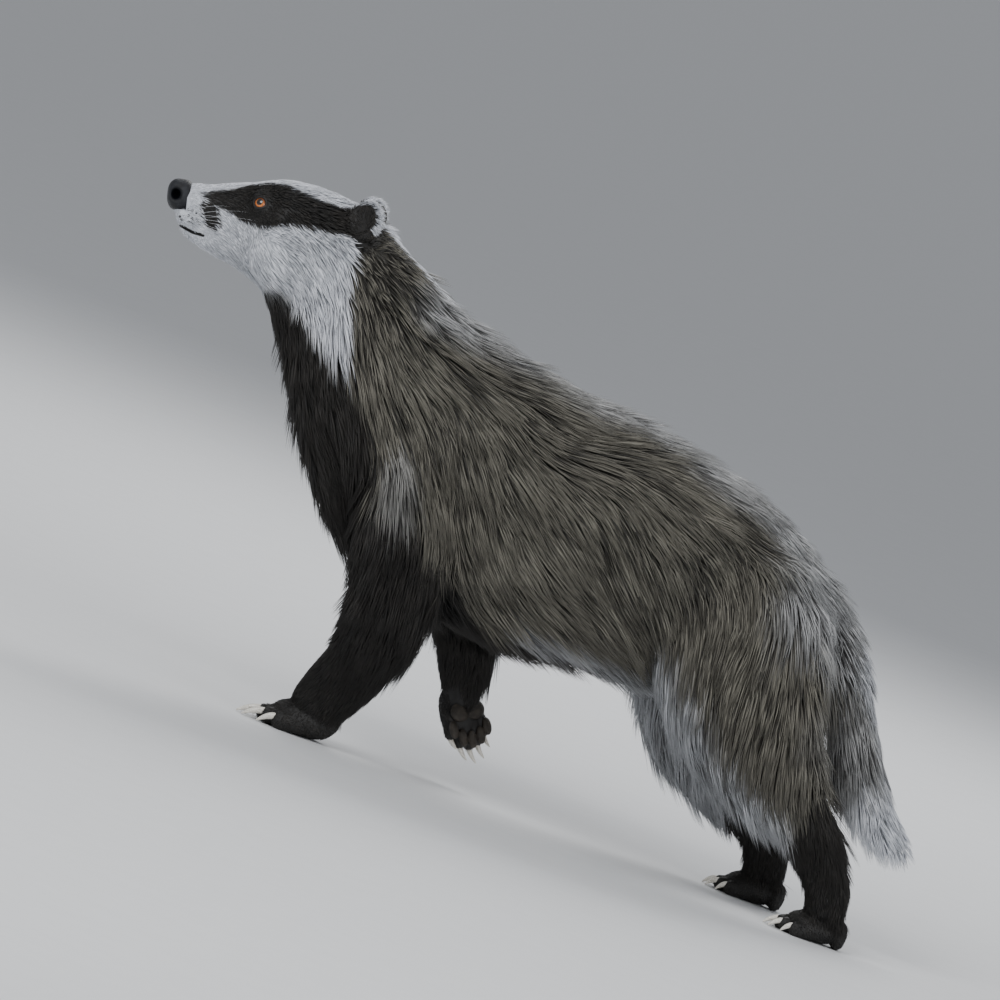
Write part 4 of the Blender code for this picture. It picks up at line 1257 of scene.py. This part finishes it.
# %% [markdown]
# ## Claws and pads
#
# The claws are horn: round on top, flatter below, level as they leave the toe and then curved
# down to a blunt point. The pads under the lifted paw are bare, cushioned skin, melted from a
# few egg shapes as the skin was.

# %% Make the claws of each paw
PALM_PADS = [(-0.0010, 0.0095, 0.0105, 0.0120), (-0.0010, -0.0085, 0.0105, 0.0120)]
WRIST_PAD = (-0.0240, 0.0060, 0.0065, 0.0060)
TOE_PAD = (0.0096, 0.0052)
PAD_RISE = 0.0030
PAD_VOXEL = 0.0006
PAD_SMOOTHINGS = 3
PAD_SINK = 0.0004
CLAW_HOOPS = 12
CLAW_UP = 0.0108
CLAW_DROP, DROP_POWER = 0.0084, 1.8
CLAW_TAPER, TAPER_POWER = 0.78, 2.2
CLAW_SECTION = (0.80, 0.85)


def claw(name, number):
    place, size = paw_place(name)
    forward, sideways, toe, length = (size * value for value in TOES[number])
    length *= CLAW_SHARE[name]
    start = Vector((forward + toe * TOE_SHARE + size * TOE_RADIUS * 0.3, sideways, size * CLAW_UP))
    narrow, flat = CLAW_SECTION
    rows = []
    for share in np.linspace(0.0, 1.0, CLAW_HOOPS):
        drop = size * CLAW_DROP * share**DROP_POWER
        radius = CLAW_RADIUS * size * (1.0 - CLAW_TAPER * share**TAPER_POWER)
        middle = start + Vector((length * share, 0.0, -drop))
        rows.append((*middle, radius * narrow, radius, radius * flat, 0.0))
    made = tube("claw", rows, steps=1, sides=20, dome=0.8)
    made.data.transform(place)
    return made


def claws_of(name):
    made = joined("claws_" + name, [claw(name, number) for number in range(len(TOES))])
    made.data.transform(Matrix.Translation(SHIFT))
    made.data.shade_smooth()
    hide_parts(*[f"claw_{name}_{number + 1}" for number in range(len(TOES))])
    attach(made, "root")
    return made


def pads_of(name):
    place, size = paw_place(name)
    pads = [*PALM_PADS, WRIST_PAD]
    pads += [(forward + toe * 0.3, sideways, *TOE_PAD) for forward, sideways, toe, _ in TOES]
    forms = []
    for forward, sideways, length, width in pads:
        half = (size * length, size * width, PAD_RISE)
        at = (size * forward, size * sideways, PAD_SINK)
        forms.append(ellipsoid("pad", at, half, None, 24))
    made = melt(joined("pads_" + name, forms), PAD_VOXEL, PAD_SMOOTHINGS)
    made.data.transform(Matrix.Translation(SHIFT) @ place)
    made.data.shade_smooth()
    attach(made, "root")
    return made


claws = [claws_of(name) for name in CLAW_SHARE]
pads = pads_of("fore_right")
print("faces of claws:", sum(len(made.data.polygons) for made in claws))
print("faces of pads:", len(pads.data.polygons))

# %% [markdown]
# ## A hand for building materials
#
# Long chains of nodes are hard to read as code. This small helper adds one node at a time,
# links what is a socket and sets what is a number, so that a chain reads like arithmetic.

# %% A helper that writes nodes
class Graph:
    def __init__(self, tree):
        self.tree = tree
        self.made = 0

    def plug(self, socket, value):
        if isinstance(value, bpy.types.NodeSocket):
            self.tree.links.new(value, socket)
        elif value is not None:
            socket.default_value = value

    def node(self, kind, *values, **settings):
        made = self.tree.nodes.new("ShaderNode" + kind)
        made.location = (180 * (self.made % 12), -220 * (self.made // 12))
        self.made += 1
        for key, value in settings.items():
            setattr(made, key, value)
        for socket, value in zip(made.inputs, values):
            self.plug(socket, value)
        return made

    def math(self, operation, *values):
        return self.node("Math", *values, operation=operation).outputs[0]

    def times(self, first, second):
        return self.math("MULTIPLY", first, second)

    def minus(self, first, second):
        return self.math("SUBTRACT", first, second)

    def most(self, first, second):
        return self.math("MAXIMUM", first, second)

    def vector(self, operation, *values, out=0):
        return self.node("VectorMath", *values, operation=operation).outputs[out]

    def scaled(self, vector, size):
        made = self.node("VectorMath", vector, operation="SCALE")
        self.plug(made.inputs["Scale"], size)
        return made.outputs[0]

    def between(self, value, low, high, first, last):
        return self.node("MapRange", value, low, high, first, last).outputs[0]

    def step(self, value, low, high):
        return self.node("MapRange", value, low, high, 0.0, 1.0, interpolation_type="SMOOTHSTEP").outputs[0]

    def noise(self, place, scale, detail=3.0, out=0):
        made = self.node("TexNoise")
        self.plug(made.inputs["Vector"], place)
        made.inputs["Scale"].default_value = scale
        made.inputs["Detail"].default_value = detail
        return made.outputs[out]

    def attribute(self, name, out):
        return self.node("Attribute", attribute_name=name).outputs[out]

    def mix(self, factor, first, second):
        made = self.node("Mix", data_type="RGBA")
        for name, value in (("Factor_Float", factor), ("A_Color", first), ("B_Color", second)):
            socket = next(socket for socket in made.inputs if socket.identifier == name)
            if isinstance(value, tuple):
                value = (*value, 1.0)[:4]
            self.plug(socket, value)
        return next(socket for socket in made.outputs if socket.identifier == "Result_Color")

    def curve(self, value, points, low, high):
        """A line drawn through points, as a value of 0 to 1 between low and high."""
        xs = [x for x, _ in points]
        share = self.between(value, xs[0], xs[-1], 0.0, 1.0)
        made = self.node("FloatCurve", 1.0, share)
        line = made.mapping.curves[0]
        spots = [((x - xs[0]) / (xs[-1] - xs[0]), (y - low) / (high - low)) for x, y in points]
        while len(line.points) < len(spots):
            line.points.new(0.5, 0.5)
        for point, spot in zip(line.points, sorted(spots)):
            point.location = spot
            point.handle_type = "AUTO_CLAMPED"
        made.mapping.update()
        return self.between(made.outputs[0], 0.0, 1.0, low, high)

    def bump(self, shader, height, strength, distance):
        made = self.node("Bump")
        made.inputs["Strength"].default_value = strength
        made.inputs["Distance"].default_value = distance
        self.plug(made.inputs["Height"], height)
        self.plug(shader.inputs["Normal"], made.outputs[0])


def new_group(name, inputs, outputs):
    tree = bpy.data.node_groups.new(name, "ShaderNodeTree")
    for label, kind, default in inputs:
        socket = tree.interface.new_socket(name=label, in_out="INPUT", socket_type=kind)
        if default is not None:
            socket.default_value = default
    for label, kind in outputs:
        tree.interface.new_socket(name=label, in_out="OUTPUT", socket_type=kind)
    graph = Graph(tree)
    return graph, tree.nodes.new("NodeGroupInput"), tree.nodes.new("NodeGroupOutput")


def use_group(graph, group, **values):
    made = graph.tree.nodes.new("ShaderNodeGroup")
    made.node_tree = group
    for label, value in values.items():
        socket = made.inputs[label.replace("_", " ").capitalize()]
        graph.plug(socket, (*value, 1.0)[:4] if isinstance(value, tuple) and len(value) == 3 else value)
    return made


# %% [markdown]
# ## The markings
#
# The badger's face is white with a black band from the snout through each eye and ear, its
# throat, chest and legs are black, its body is grizzled, and some edges are paler. The tail's
# edge has pale hair, partly painted highlight. The back, the shoulder, the thighs and the belly's
# edge have a painted highlight, where a cool light catches the coat. A picture could be projected
# for this, but it would smear on the sides that it doesn't show. Here each border is a curve in
# the plane that splits the animal, so both sides match, and a little noise frays it. The group
# reads a place and gives masks, for the skin its own place and for hair the place of the hair's
# root, so that skin and coat always agree.

# %% Places of the markings
# Half width of the white blaze over x, then borders as x and z or z and x
BLAZE = [
    (-0.3450, 0.0160), (-0.3300, 0.0125), (-0.3100, 0.0110), (-0.2923, 0.0075), (-0.2756, 0.0120),
    (-0.2549, 0.0240), (-0.2323, 0.0290), (-0.2110, 0.0220), (-0.1800, 0.0150), (-0.1500, 0.0080),
    (-0.1150, 0.0000),
]
BAND_BELOW = [
    (-0.3330, 0.3960), (-0.3250, 0.3935), (-0.3100, 0.3925), (-0.3000, 0.3915), (-0.2910, 0.3895),
    (-0.2711, 0.3925), (-0.2522, 0.4020), (-0.2318, 0.4080), (-0.2179, 0.4100), (-0.2013, 0.4110),
    (-0.1897, 0.4050),
]
CHEEK_BACK = [
    (0.2886, -0.1569), (0.3242, -0.1709), (0.3518, -0.1772), (0.3773, -0.1890), (0.4072, -0.1897),
    (0.4300, -0.2000), (0.4600, -0.2000),
]
DARK_BELOW = [
    (-0.3000, 0.2900), (-0.2680, 0.3000), (-0.2573, 0.3520), (-0.2152, 0.3400), (-0.1742, 0.3215),
    (-0.1569, 0.3080), (-0.1153, 0.2560), (-0.1054, 0.2330), (-0.0817, 0.2330), (-0.0464, 0.2150),
    (-0.0258, 0.2000), (-0.0100, 0.1720), (0.0112, 0.1560), (0.1300, 0.1450), (0.1550, 0.1000),
    (0.2000, 0.0750), (0.2700, 0.0620), (0.3000, 0.0760), (0.3400, 0.0900), (0.4200, 0.0850),
]
DARK_SHANK = [
    (0.2700, 0.0620), (0.3000, 0.0760), (0.3150, 0.0800), (0.3220, 0.1400), (0.3300, 0.1700),
    (0.4200, 0.1700),
]
SHANK_STEP = (0.054, 0.020)
# Start, end, reach and strength of each pale edge of the coat: pale hair with some painted highlight on the
# tail, painted highlight of a cool light elsewhere
PALE_AND_LIT_EDGES = [
    # painted highlight of a cool light along the neck, the back and the rump
    ((-0.1205, 0.3914), (0.0671, 0.3570), 0.030, 0.50),
    ((0.0671, 0.3570), (0.1868, 0.3320), 0.026, 0.45),
    ((0.1868, 0.3320), (0.3023, 0.2558), 0.030, 0.50),
    # painted highlight on the front edges of the thighs
    ((0.1700, 0.1857), (0.2980, 0.0830), 0.042, 0.75),
    ((0.1400, 0.1650), (0.2734, 0.0650), 0.034, 0.80),
    # the tail's rear edge and middle: pale hair, partly painted highlight
    ((0.3180, 0.2600), (0.3790, 0.1922), 0.028, 0.95),
    ((0.3790, 0.1922), (0.4328, 0.0906), 0.034, 1.00),
    ((0.3350, 0.2030), (0.4010, 0.1120), 0.050, 0.40),
    # painted highlight on the shoulder
    ((-0.1100, 0.2750), (-0.0860, 0.2350), 0.018, 0.24),
    # painted highlight on the belly's edge
    ((0.0300, 0.1600), (0.1700, 0.1560), 0.022, 0.60),
]
SNOUT_PATCH = ((-0.3215, 0.3890), (-0.3150, 0.3790), 0.0095)
TAIL_TIP = ((0.3950, 0.1180), (0.4250, 0.0950), 0.056)
WHISKER_SPOTS = [
    (-0.3356, 0.3810), (-0.3405, 0.3727), (-0.3337, 0.3763), (-0.3280, 0.3804), (-0.3319, 0.3715),
    (-0.3285, 0.3747),
]
FRAY, FRAY_SCALE = 0.0045, 120.0
SPOT_SIZE, LINE_SIZE = 0.0018, 0.0022
SPOT_EDGE = (0.25, 0.60)
SHARP, SOFT, SOFTEST = 0.001, 0.003, 0.006
OVER_HEAD = (0.3955, 0.3975)
NAPE_FROM, NAPE_ABOVE = (-0.20, -0.19), (0.345, 0.360)
BAND_FROM, BAND_TO = (-0.3345, -0.3300), (-0.186, -0.172)
SHANK_SIDE = (0.028, 0.038)
TIP_HALF = 0.030
print("borders:", len(BLAZE) + len(BAND_BELOW) + len(CHEEK_BACK) + len(DARK_BELOW), "points")


# %% The markings group
def line_mask(graph, flat, start, end, reach):
    """1 on a line between two places, fading to 0 at the reach."""
    a, b = (Vector((x + SHIFT[0], 0.0, z)) for x, z in (start, end))
    line = b - a
    from_start = graph.vector("SUBTRACT", flat, tuple(a))
    share = graph.vector("DOT_PRODUCT", from_start, tuple(line / max(line.length_squared, 1e-9)), out=1)
    share = graph.node("Clamp", share, 0.0, 1.0).outputs[0]
    nearest = graph.scaled(tuple(line), share)
    away = graph.vector("LENGTH", graph.vector("SUBTRACT", from_start, nearest), out=1)
    return graph.minus(1.0, graph.step(away, reach * 0.25, reach))


def past_curve(graph, value, place, points, low, high, edge):
    """1 where the value is above a curve drawn through points, 0 below it."""
    return graph.step(graph.minus(value, graph.curve(place, points, low, high)), -edge, edge)


def short_of_curve(graph, value, place, points, low, high, edge):
    """1 where the value is below a curve drawn through points, 0 above it."""
    return graph.step(graph.minus(graph.curve(place, points, low, high), value), -edge, edge)


def snout_mask(graph, place, flat):
    """The dark patch behind the lip, the roots of the whiskers and the line of the mouth."""
    sharp = graph.vector("MULTIPLY", place, (1.0, 0.0, 1.0))
    marks = [(spot, spot, SPOT_SIZE) for spot in WHISKER_SPOTS]
    marks += [(start, end, LINE_SIZE) for start, end in zip(MOUTH_LINE, MOUTH_LINE[1:])]
    mask = graph.step(line_mask(graph, flat, *SNOUT_PATCH), *SPOT_EDGE)
    for mark in marks:
        mask = graph.most(mask, graph.step(line_mask(graph, sharp, *mark), *SPOT_EDGE))
    return mask


def blaze_mask(graph, x, y, z):
    blaze = short_of_curve(graph, y, x, BLAZE, -0.01, 0.04, SHARP)
    nape = graph.times(graph.step(x, *NAPE_FROM), graph.step(z, *NAPE_ABOVE))
    return graph.times(blaze, graph.most(graph.step(z, *OVER_HEAD), nape))


def dark_mask(graph, x, y, z, right):
    """Throat, chest, belly's edge and legs. The right hind leg stands further forward."""
    dark = short_of_curve(graph, z, x, DARK_BELOW, 0.05, 0.35, SOFTEST)
    along, up = (graph.math("MULTIPLY_ADD", right, step, at) for step, at in zip(SHANK_STEP, (x, z)))
    shank = short_of_curve(graph, up, along, DARK_SHANK, 0.0, 0.2, 0.005)
    return graph.most(dark, graph.times(shank, graph.step(y, *SHANK_SIDE)))


# The pale mask: pale hair on the tail, elsewhere painted highlight where a cool light catches the coat's
# edges
def pale_and_lit_mask(graph, flat):
    edges = [
        graph.times(line_mask(graph, flat, start, end, reach), strength)
        for start, end, reach, strength in PALE_AND_LIT_EDGES
    ]
    return reduce(graph.most, edges)


def markings_group():
    graph, given, result = new_group(
        "badger_markings",
        [("Place", "NodeSocketVector", None)],
        [("White", "NodeSocketFloat"), ("Black", "NodeSocketFloat"), ("Pale_and_lit", "NodeSocketFloat")],
    )
    place = given.outputs["Place"]
    fray = graph.vector("SUBTRACT", graph.noise(place, FRAY_SCALE, out=1), (0.5, 0.5, 0.5))
    frayed = graph.vector("ADD", place, graph.scaled(fray, FRAY))
    parts = graph.node("SeparateXYZ", frayed)
    x = graph.minus(parts.outputs["X"], float(SHIFT[0]))
    y, z = graph.math("ABSOLUTE", parts.outputs["Y"]), parts.outputs["Z"]
    flat = graph.vector("MULTIPLY", frayed, (1.0, 0.0, 1.0))
    right = graph.step(parts.outputs["Y"], -SHARP, SHARP)

    snout = snout_mask(graph, place, flat)
    black_band = past_curve(graph, z, x, BAND_BELOW, 0.38, 0.42, SHARP)
    black_band = graph.most(graph.times(black_band, graph.step(x, *BAND_FROM)), snout)
    dark = dark_mask(graph, x, y, z, right)
    cheek = short_of_curve(graph, x, z, CHEEK_BACK, -0.21, -0.15, SOFT)
    cheek = graph.times(graph.times(graph.minus(1.0, black_band), cheek), graph.minus(1.0, dark))
    blaze = graph.times(blaze_mask(graph, x, y, z), graph.minus(1.0, snout))
    tip = graph.times(line_mask(graph, flat, *TAIL_TIP), graph.math("LESS_THAN", y, TIP_HALF))
    white = graph.most(graph.most(blaze, cheek), tip)
    on_head = graph.minus(1.0, graph.step(x, *BAND_TO))
    black = graph.most(graph.times(black_band, on_head), dark)
    graph.plug(result.inputs["White"], white)
    graph.plug(result.inputs["Black"], graph.times(black, graph.minus(1.0, white)))
    # The pale mask is mostly painted highlight of a cool light, with pale hair on the tail
    graph.plug(result.inputs["Pale_and_lit"], pale_and_lit_mask(graph, flat))
    return graph.tree


markings = markings_group()
print("markings group:", len(markings.nodes), "nodes")

# %% [markdown]
# ## The colour of a hair
#
# One badger hair isn't one colour: on the body it is dark in the middle and pale at the tip,
# which gives the grizzled look. Its root is given dark as well, and white and pale hair darken
# towards the root: painted shade deep in the coat, between the hairs. The group takes a root, a
# middle and a tip colour, and each hair's own shade moves it lighter or darker.

# %% The hair colour group
def hair_group():
    graph, given, result = new_group(
        "hair_colour",
        [
            ("Along", "NodeSocketFloat", 0.5),
            ("Shade", "NodeSocketFloat", 0.5),
            ("Root", "NodeSocketColor", None),
            ("Dark", "NodeSocketColor", None),
            ("Tip", "NodeSocketColor", None),
        ],
        [("Color", "NodeSocketColor")],
    )
    along, shade = given.outputs["Along"], given.outputs["Shade"]
    rises = graph.step(along, 0.0, 0.42)
    colour = graph.mix(rises, given.outputs["Root"], given.outputs["Dark"])
    tip_from = graph.minus(1.02, shade)
    tipped = graph.step(graph.minus(along, tip_from), -0.28, 0.30)
    colour = graph.mix(tipped, colour, given.outputs["Tip"])
    graph.plug(result.inputs["Color"], colour)
    return graph.tree


hair_colour = hair_group()
# Root colours are darker than the hair's own: painted shade deep in the coat
WHITE_HAIR = ((0.30, 0.31, 0.33), (0.48, 0.50, 0.54), (0.84, 0.86, 0.91))
BLACK_HAIR = ((0.003, 0.003, 0.003), (0.006, 0.0055, 0.005), (0.026, 0.023, 0.020))
GREY_HAIR = ((0.024, 0.022, 0.018), (0.021, 0.019, 0.015), (0.185, 0.174, 0.143))
# Cool pale hair for the pale bands: its bluish tip is mostly painted highlight of a cool light, partly pale
# hair
PALE_AND_LIT_HAIR = ((0.070, 0.070, 0.071), (0.110, 0.110, 0.112), (0.620, 0.640, 0.680))


def new_material(name, roughness, **settings):
    made = bpy.data.materials.new(name)
    made.use_nodes = True
    shader = made.node_tree.nodes["Principled BSDF"]
    shader.inputs["Roughness"].default_value = roughness
    for label, value in settings.items():
        shader.inputs[label.replace("_", " ").title()].default_value = value
    return made, Graph(made.node_tree), shader


def dress(look, *pieces):
    for piece in pieces:
        piece.data.materials.clear()
        piece.data.materials.append(look)


def hair(graph, colours):
    """The colour of a tuft whose root, middle and tip have these colours."""
    along, shade = graph.attribute("along", "Fac"), graph.attribute("shade", "Fac")
    root, dark, tip = colours
    return use_group(graph, hair_colour, along=along, shade=shade, root=root, dark=dark, tip=tip).outputs[0]


# %% Dress the coat, the skin and the ears' rims
SKIN_ALONG, SKIN_SHADE = 0.35, 0.45


def coat_material(name, bump):
    made, graph, shader = new_material(name, 0.62)
    place = graph.attribute("root_place", "Vector")
    masks = use_group(graph, markings, place=place)
    # The pale bands lighten the grizzled hair, mostly as painted highlight
    colour = graph.mix(masks.outputs["Pale_and_lit"], hair(graph, GREY_HAIR), hair(graph, PALE_AND_LIT_HAIR))
    colour = graph.mix(masks.outputs["Black"], colour, hair(graph, BLACK_HAIR))
    colour = graph.mix(masks.outputs["White"], colour, hair(graph, WHITE_HAIR))
    graph.plug(shader.inputs["Base Color"], colour)
    rough = graph.between(graph.attribute("shade", "Fac"), 0.0, 1.0, 0.55, 0.75)
    graph.plug(shader.inputs["Roughness"], rough)
    if bump:
        fine = graph.noise(graph.vector("MULTIPLY", place, (0.35, 1.0, 0.8)), 1400.0, 4.0)
        graph.bump(shader, fine, 0.5, 0.0006)
    return made


def white_and_lit_hair_material():
    made, graph, shader = new_material("white_and_lit_ear_hair", 0.6)
    graph.plug(shader.inputs["Base Color"], hair(graph, WHITE_HAIR))
    return made


skin_shade = SKIN_SHADE + 0.12 * waves(skin_points, 0.012, 9)
set_attribute(skin.data, "root_place", "FLOAT_VECTOR", skin_points)
set_attribute(skin.data, "along", "FLOAT", np.full(len(skin_points), SKIN_ALONG))
set_attribute(skin.data, "shade", "FLOAT", np.clip(skin_shade, 0, 1))
dress(coat_material("badger_coat", False), *coat)
dress(coat_material("badger_skin", True), skin)
# The ears' rims are white hair and painted highlight
dress(white_and_lit_hair_material(), *rims)
print("dressed with hair:", len(coat) + len(rims), "pieces and the skin")

# %% [markdown]
# ## Leather, horn, whiskers and eyes
#
# The nose, the pads and the edges of the lids are bare skin with a fine pebbled grain, so they
# share one grain group with different sizes. Horn has streaks along the claw and darker stains
# here and there. The iris is amber with spokes, darker at its rim, round a black pupil,
# and the wet surface is a clear coat.

# %% The grain group and the leather materials
def grain_group():
    graph, given, result = new_group(
        "leather_grain",
        [
            ("Place", "NodeSocketVector", None),
            ("Scale", "NodeSocketFloat", 900.0),
            ("Base", "NodeSocketColor", None),
            ("Worn", "NodeSocketColor", None),
        ],
        [("Color", "NodeSocketColor"), ("Height", "NodeSocketFloat"), ("Roughness", "NodeSocketFloat")],
    )
    cells = graph.node("TexVoronoi", feature="DISTANCE_TO_EDGE")
    graph.plug(cells.inputs["Vector"], given.outputs["Place"])
    graph.plug(cells.inputs["Scale"], given.outputs["Scale"])
    height = graph.step(cells.outputs["Distance"], 0.0, 0.35)
    blotch = graph.noise(given.outputs["Place"], 160.0)
    colour = graph.mix(graph.step(blotch, 0.35, 0.75), given.outputs["Base"], given.outputs["Worn"])
    graph.plug(result.inputs["Color"], colour)
    graph.plug(result.inputs["Height"], height)
    rough = graph.between(graph.times(height, blotch), 0.0, 0.6, 0.55, 0.32)
    graph.plug(result.inputs["Roughness"], rough)
    return graph.tree


grain = grain_group()
# Painted shade: the colour inside the nostrils
NOSTRIL_PAINTED_SHADE = (0.002, 0.002, 0.003)
LEATHER_SHINE = 0.35


def leather(name, scale, base, worn, depth):
    """Grained leather, matt where the attribute "inner" marks the inside of a nostril, and painted near
    black there as shade in the hollow.
    """
    made, graph, shader = new_material(name, 0.4)
    place = graph.node("TexCoord").outputs["Object"]
    pebbles = use_group(graph, grain, place=place, scale=scale, base=base, worn=worn)
    inner = graph.attribute("inner", "Fac")
    # painted shade: the inside of a nostril is coloured near black
    colour = graph.mix(graph.step(inner, 0.05, 0.75), pebbles.outputs["Color"], NOSTRIL_PAINTED_SHADE)
    matt = graph.step(inner, 0.05, 0.5)
    graph.plug(shader.inputs["Base Color"], colour)
    graph.plug(shader.inputs["Roughness"], graph.most(pebbles.outputs["Roughness"], matt))
    graph.plug(shader.inputs["Specular IOR Level"], graph.between(matt, 0.0, 1.0, LEATHER_SHINE, 0.0))
    graph.bump(shader, pebbles.outputs["Height"], 0.6, depth)
    return made


dress(leather("nose_leather_wet", 1300.0, (0.007, 0.0075, 0.0095), (0.018, 0.020, 0.025), 0.0002), nose)
dress(leather("pad_leather", 900.0, (0.020, 0.016, 0.012), (0.045, 0.037, 0.029), 0.0004), pads)
dress(leather("lid_leather", 1800.0, (0.010, 0.009, 0.009), (0.022, 0.020, 0.020), 0.0001), *lids)


# %% Horn, whiskers and eyes
HORN = {"dull": (0.60, 0.57, 0.50), "pale": (0.86, 0.83, 0.77), "stained": (0.26, 0.22, 0.17)}
WHISKER_DARK, WHISKER_WHITE = (0.01, 0.01, 0.01), (0.86, 0.87, 0.90)
PUPIL, PUPIL_EDGE = (0.002, 0.002, 0.002), (0.42, 0.50)
IRIS = {
    "inner": (0.72, 0.20, 0.020),
    "outer": (0.22, 0.045, 0.006),
    "fleck": (0.42, 0.10, 0.012),
    "shaded": (0.060, 0.018, 0.006),
    "rim": (0.012, 0.009, 0.008),
}


def horn_material():
    made, graph, shader = new_material("claw_horn_streaked", 0.35, coat_weight=0.25, coat_roughness=0.2)
    place = graph.node("TexCoord").outputs["Object"]
    streaks = graph.noise(graph.vector("MULTIPLY", place, (0.25, 1.0, 1.0)), 1500.0)
    stains = graph.noise(place, 180.0)
    colour = graph.mix(graph.step(streaks, 0.35, 0.7), HORN["dull"], HORN["pale"])
    colour = graph.mix(graph.step(stains, 0.56, 0.82), colour, HORN["stained"])
    graph.plug(shader.inputs["Base Color"], colour)
    graph.bump(shader, streaks, 0.25, 0.0002)
    return made


def whisker_material():
    made, graph, shader = new_material("whisker", 0.45)
    along = graph.attribute("along", "Fac")
    colour = graph.mix(graph.step(along, 0.02, 0.20), WHISKER_DARK, WHISKER_WHITE)
    graph.plug(shader.inputs["Base Color"], colour)
    return made


def eye_material():
    made, graph, shader = new_material("amber_eye", 0.25, coat_weight=1.0, coat_roughness=0.02)
    place = graph.node("TexCoord").outputs["Object"]
    out = graph.attribute("from_axis", "Fac")
    spokes = graph.noise(place, 2600.0, 2.0)
    flecks = graph.noise(place, 700.0, 2.0)
    ring = graph.math("ADD", out, graph.times(graph.minus(spokes, 0.5), 0.22))
    iris = graph.mix(graph.step(ring, 0.42, 0.95), IRIS["inner"], IRIS["outer"])
    iris = graph.mix(graph.step(flecks, 0.50, 0.75), iris, IRIS["fleck"])
    shade = graph.step(graph.attribute("above", "Fac"), -0.25, 0.50)
    iris = graph.mix(graph.times(shade, 0.85), iris, IRIS["shaded"])
    iris = graph.mix(graph.step(out, 0.90, 1.02), iris, IRIS["rim"])
    iris = graph.mix(graph.step(out, *PUPIL_EDGE), PUPIL, iris)
    graph.plug(shader.inputs["Base Color"], iris)
    return made


dress(horn_material(), *claws)
dress(whisker_material(), whiskers)
dress(eye_material(), *eyes)
print("materials:", len(bpy.data.materials))

# %% [markdown]
# ## Floor, lights and camera
#
# The solids stand level on their three paws, while the picture shows the body tilted up by
# 21.4 degrees with its hind feet lower. The camera is rolled by that angle, so the badger has
# the picture's tilt in the frame, and it looks on from the left side, a little from above.
# Large soft lights show the fur's relief without hard shadows.

# %% Floor and lights
FLOOR_HALF = 120.0
MIDDLE = Vector((0.0, 0.0, 0.22))
LIGHTS = {
    "key": ((-1.3, -2.2, 2.3), 1.6, 62),
    "fill": ((1.8, -2.4, 1.1), 2.2, 32),
    "rim": ((0.4, 2.2, 2.2), 1.6, 60),
}
SKY, SKY_STRENGTH = (0.74, 0.76, 0.80, 1.0), 0.55


def light(name, place, size, watts):
    data = bpy.data.lights.new(name, "AREA")
    data.size = size
    data.energy = watts
    made = new_object(name, data)
    made.location = place
    made.rotation_euler = (MIDDLE - Vector(place)).to_track_quat("-Z", "Y").to_euler()


floor_mesh = bmesh.new()
bmesh.ops.create_grid(floor_mesh, x_segments=1, y_segments=1, size=FLOOR_HALF)
floor = from_bmesh("floor", floor_mesh)
floor_look, floor_graph, floor_shader = new_material("pale_floor", 0.9)
speckle = floor_graph.noise(floor_graph.node("TexCoord").outputs["Object"], 30.0)
floor_graph.plug(
    floor_shader.inputs["Base Color"], floor_graph.mix(speckle, (0.66, 0.67, 0.68), (0.70, 0.71, 0.72))
)
dress(floor_look, floor)
for name, settings in LIGHTS.items():
    light(name, *settings)
world = bpy.data.worlds.new("studio")
bpy.context.scene.world = world
world.use_nodes = True
world.node_tree.nodes["Background"].inputs["Color"].default_value = SKY
world.node_tree.nodes["Background"].inputs["Strength"].default_value = SKY_STRENGTH
print("lights:", len(LIGHTS))

# %% Camera
TILT = math.radians(21.4)
ELEVATION = math.radians(4.0)
DISTANCE = 9.0
FRAME_WIDTH = 0.85
FRAME_MIDDLE = 0.24689
SENSOR = 36.0
target = Vector((SHIFT[0], 0.0, FRAME_MIDDLE))
outward = Vector((0.0, -math.cos(ELEVATION), math.sin(ELEVATION)))
upward = Vector((-math.sin(TILT), 0.0, math.cos(TILT)))
upward = (upward - upward.dot(outward) * outward).normalized()
sideways = upward.cross(outward).normalized()
camera_data = bpy.data.cameras.new("camera")
camera_data.sensor_width = SENSOR
camera_data.lens = SENSOR * DISTANCE / FRAME_WIDTH
camera = new_object("camera", camera_data)
turn = Matrix((sideways, upward, outward)).transposed().to_4x4()
camera.matrix_world = Matrix.Translation(target + outward * DISTANCE) @ turn
bpy.context.scene.camera = camera
print("camera at", tuple(round(value, 3) for value in camera.location))
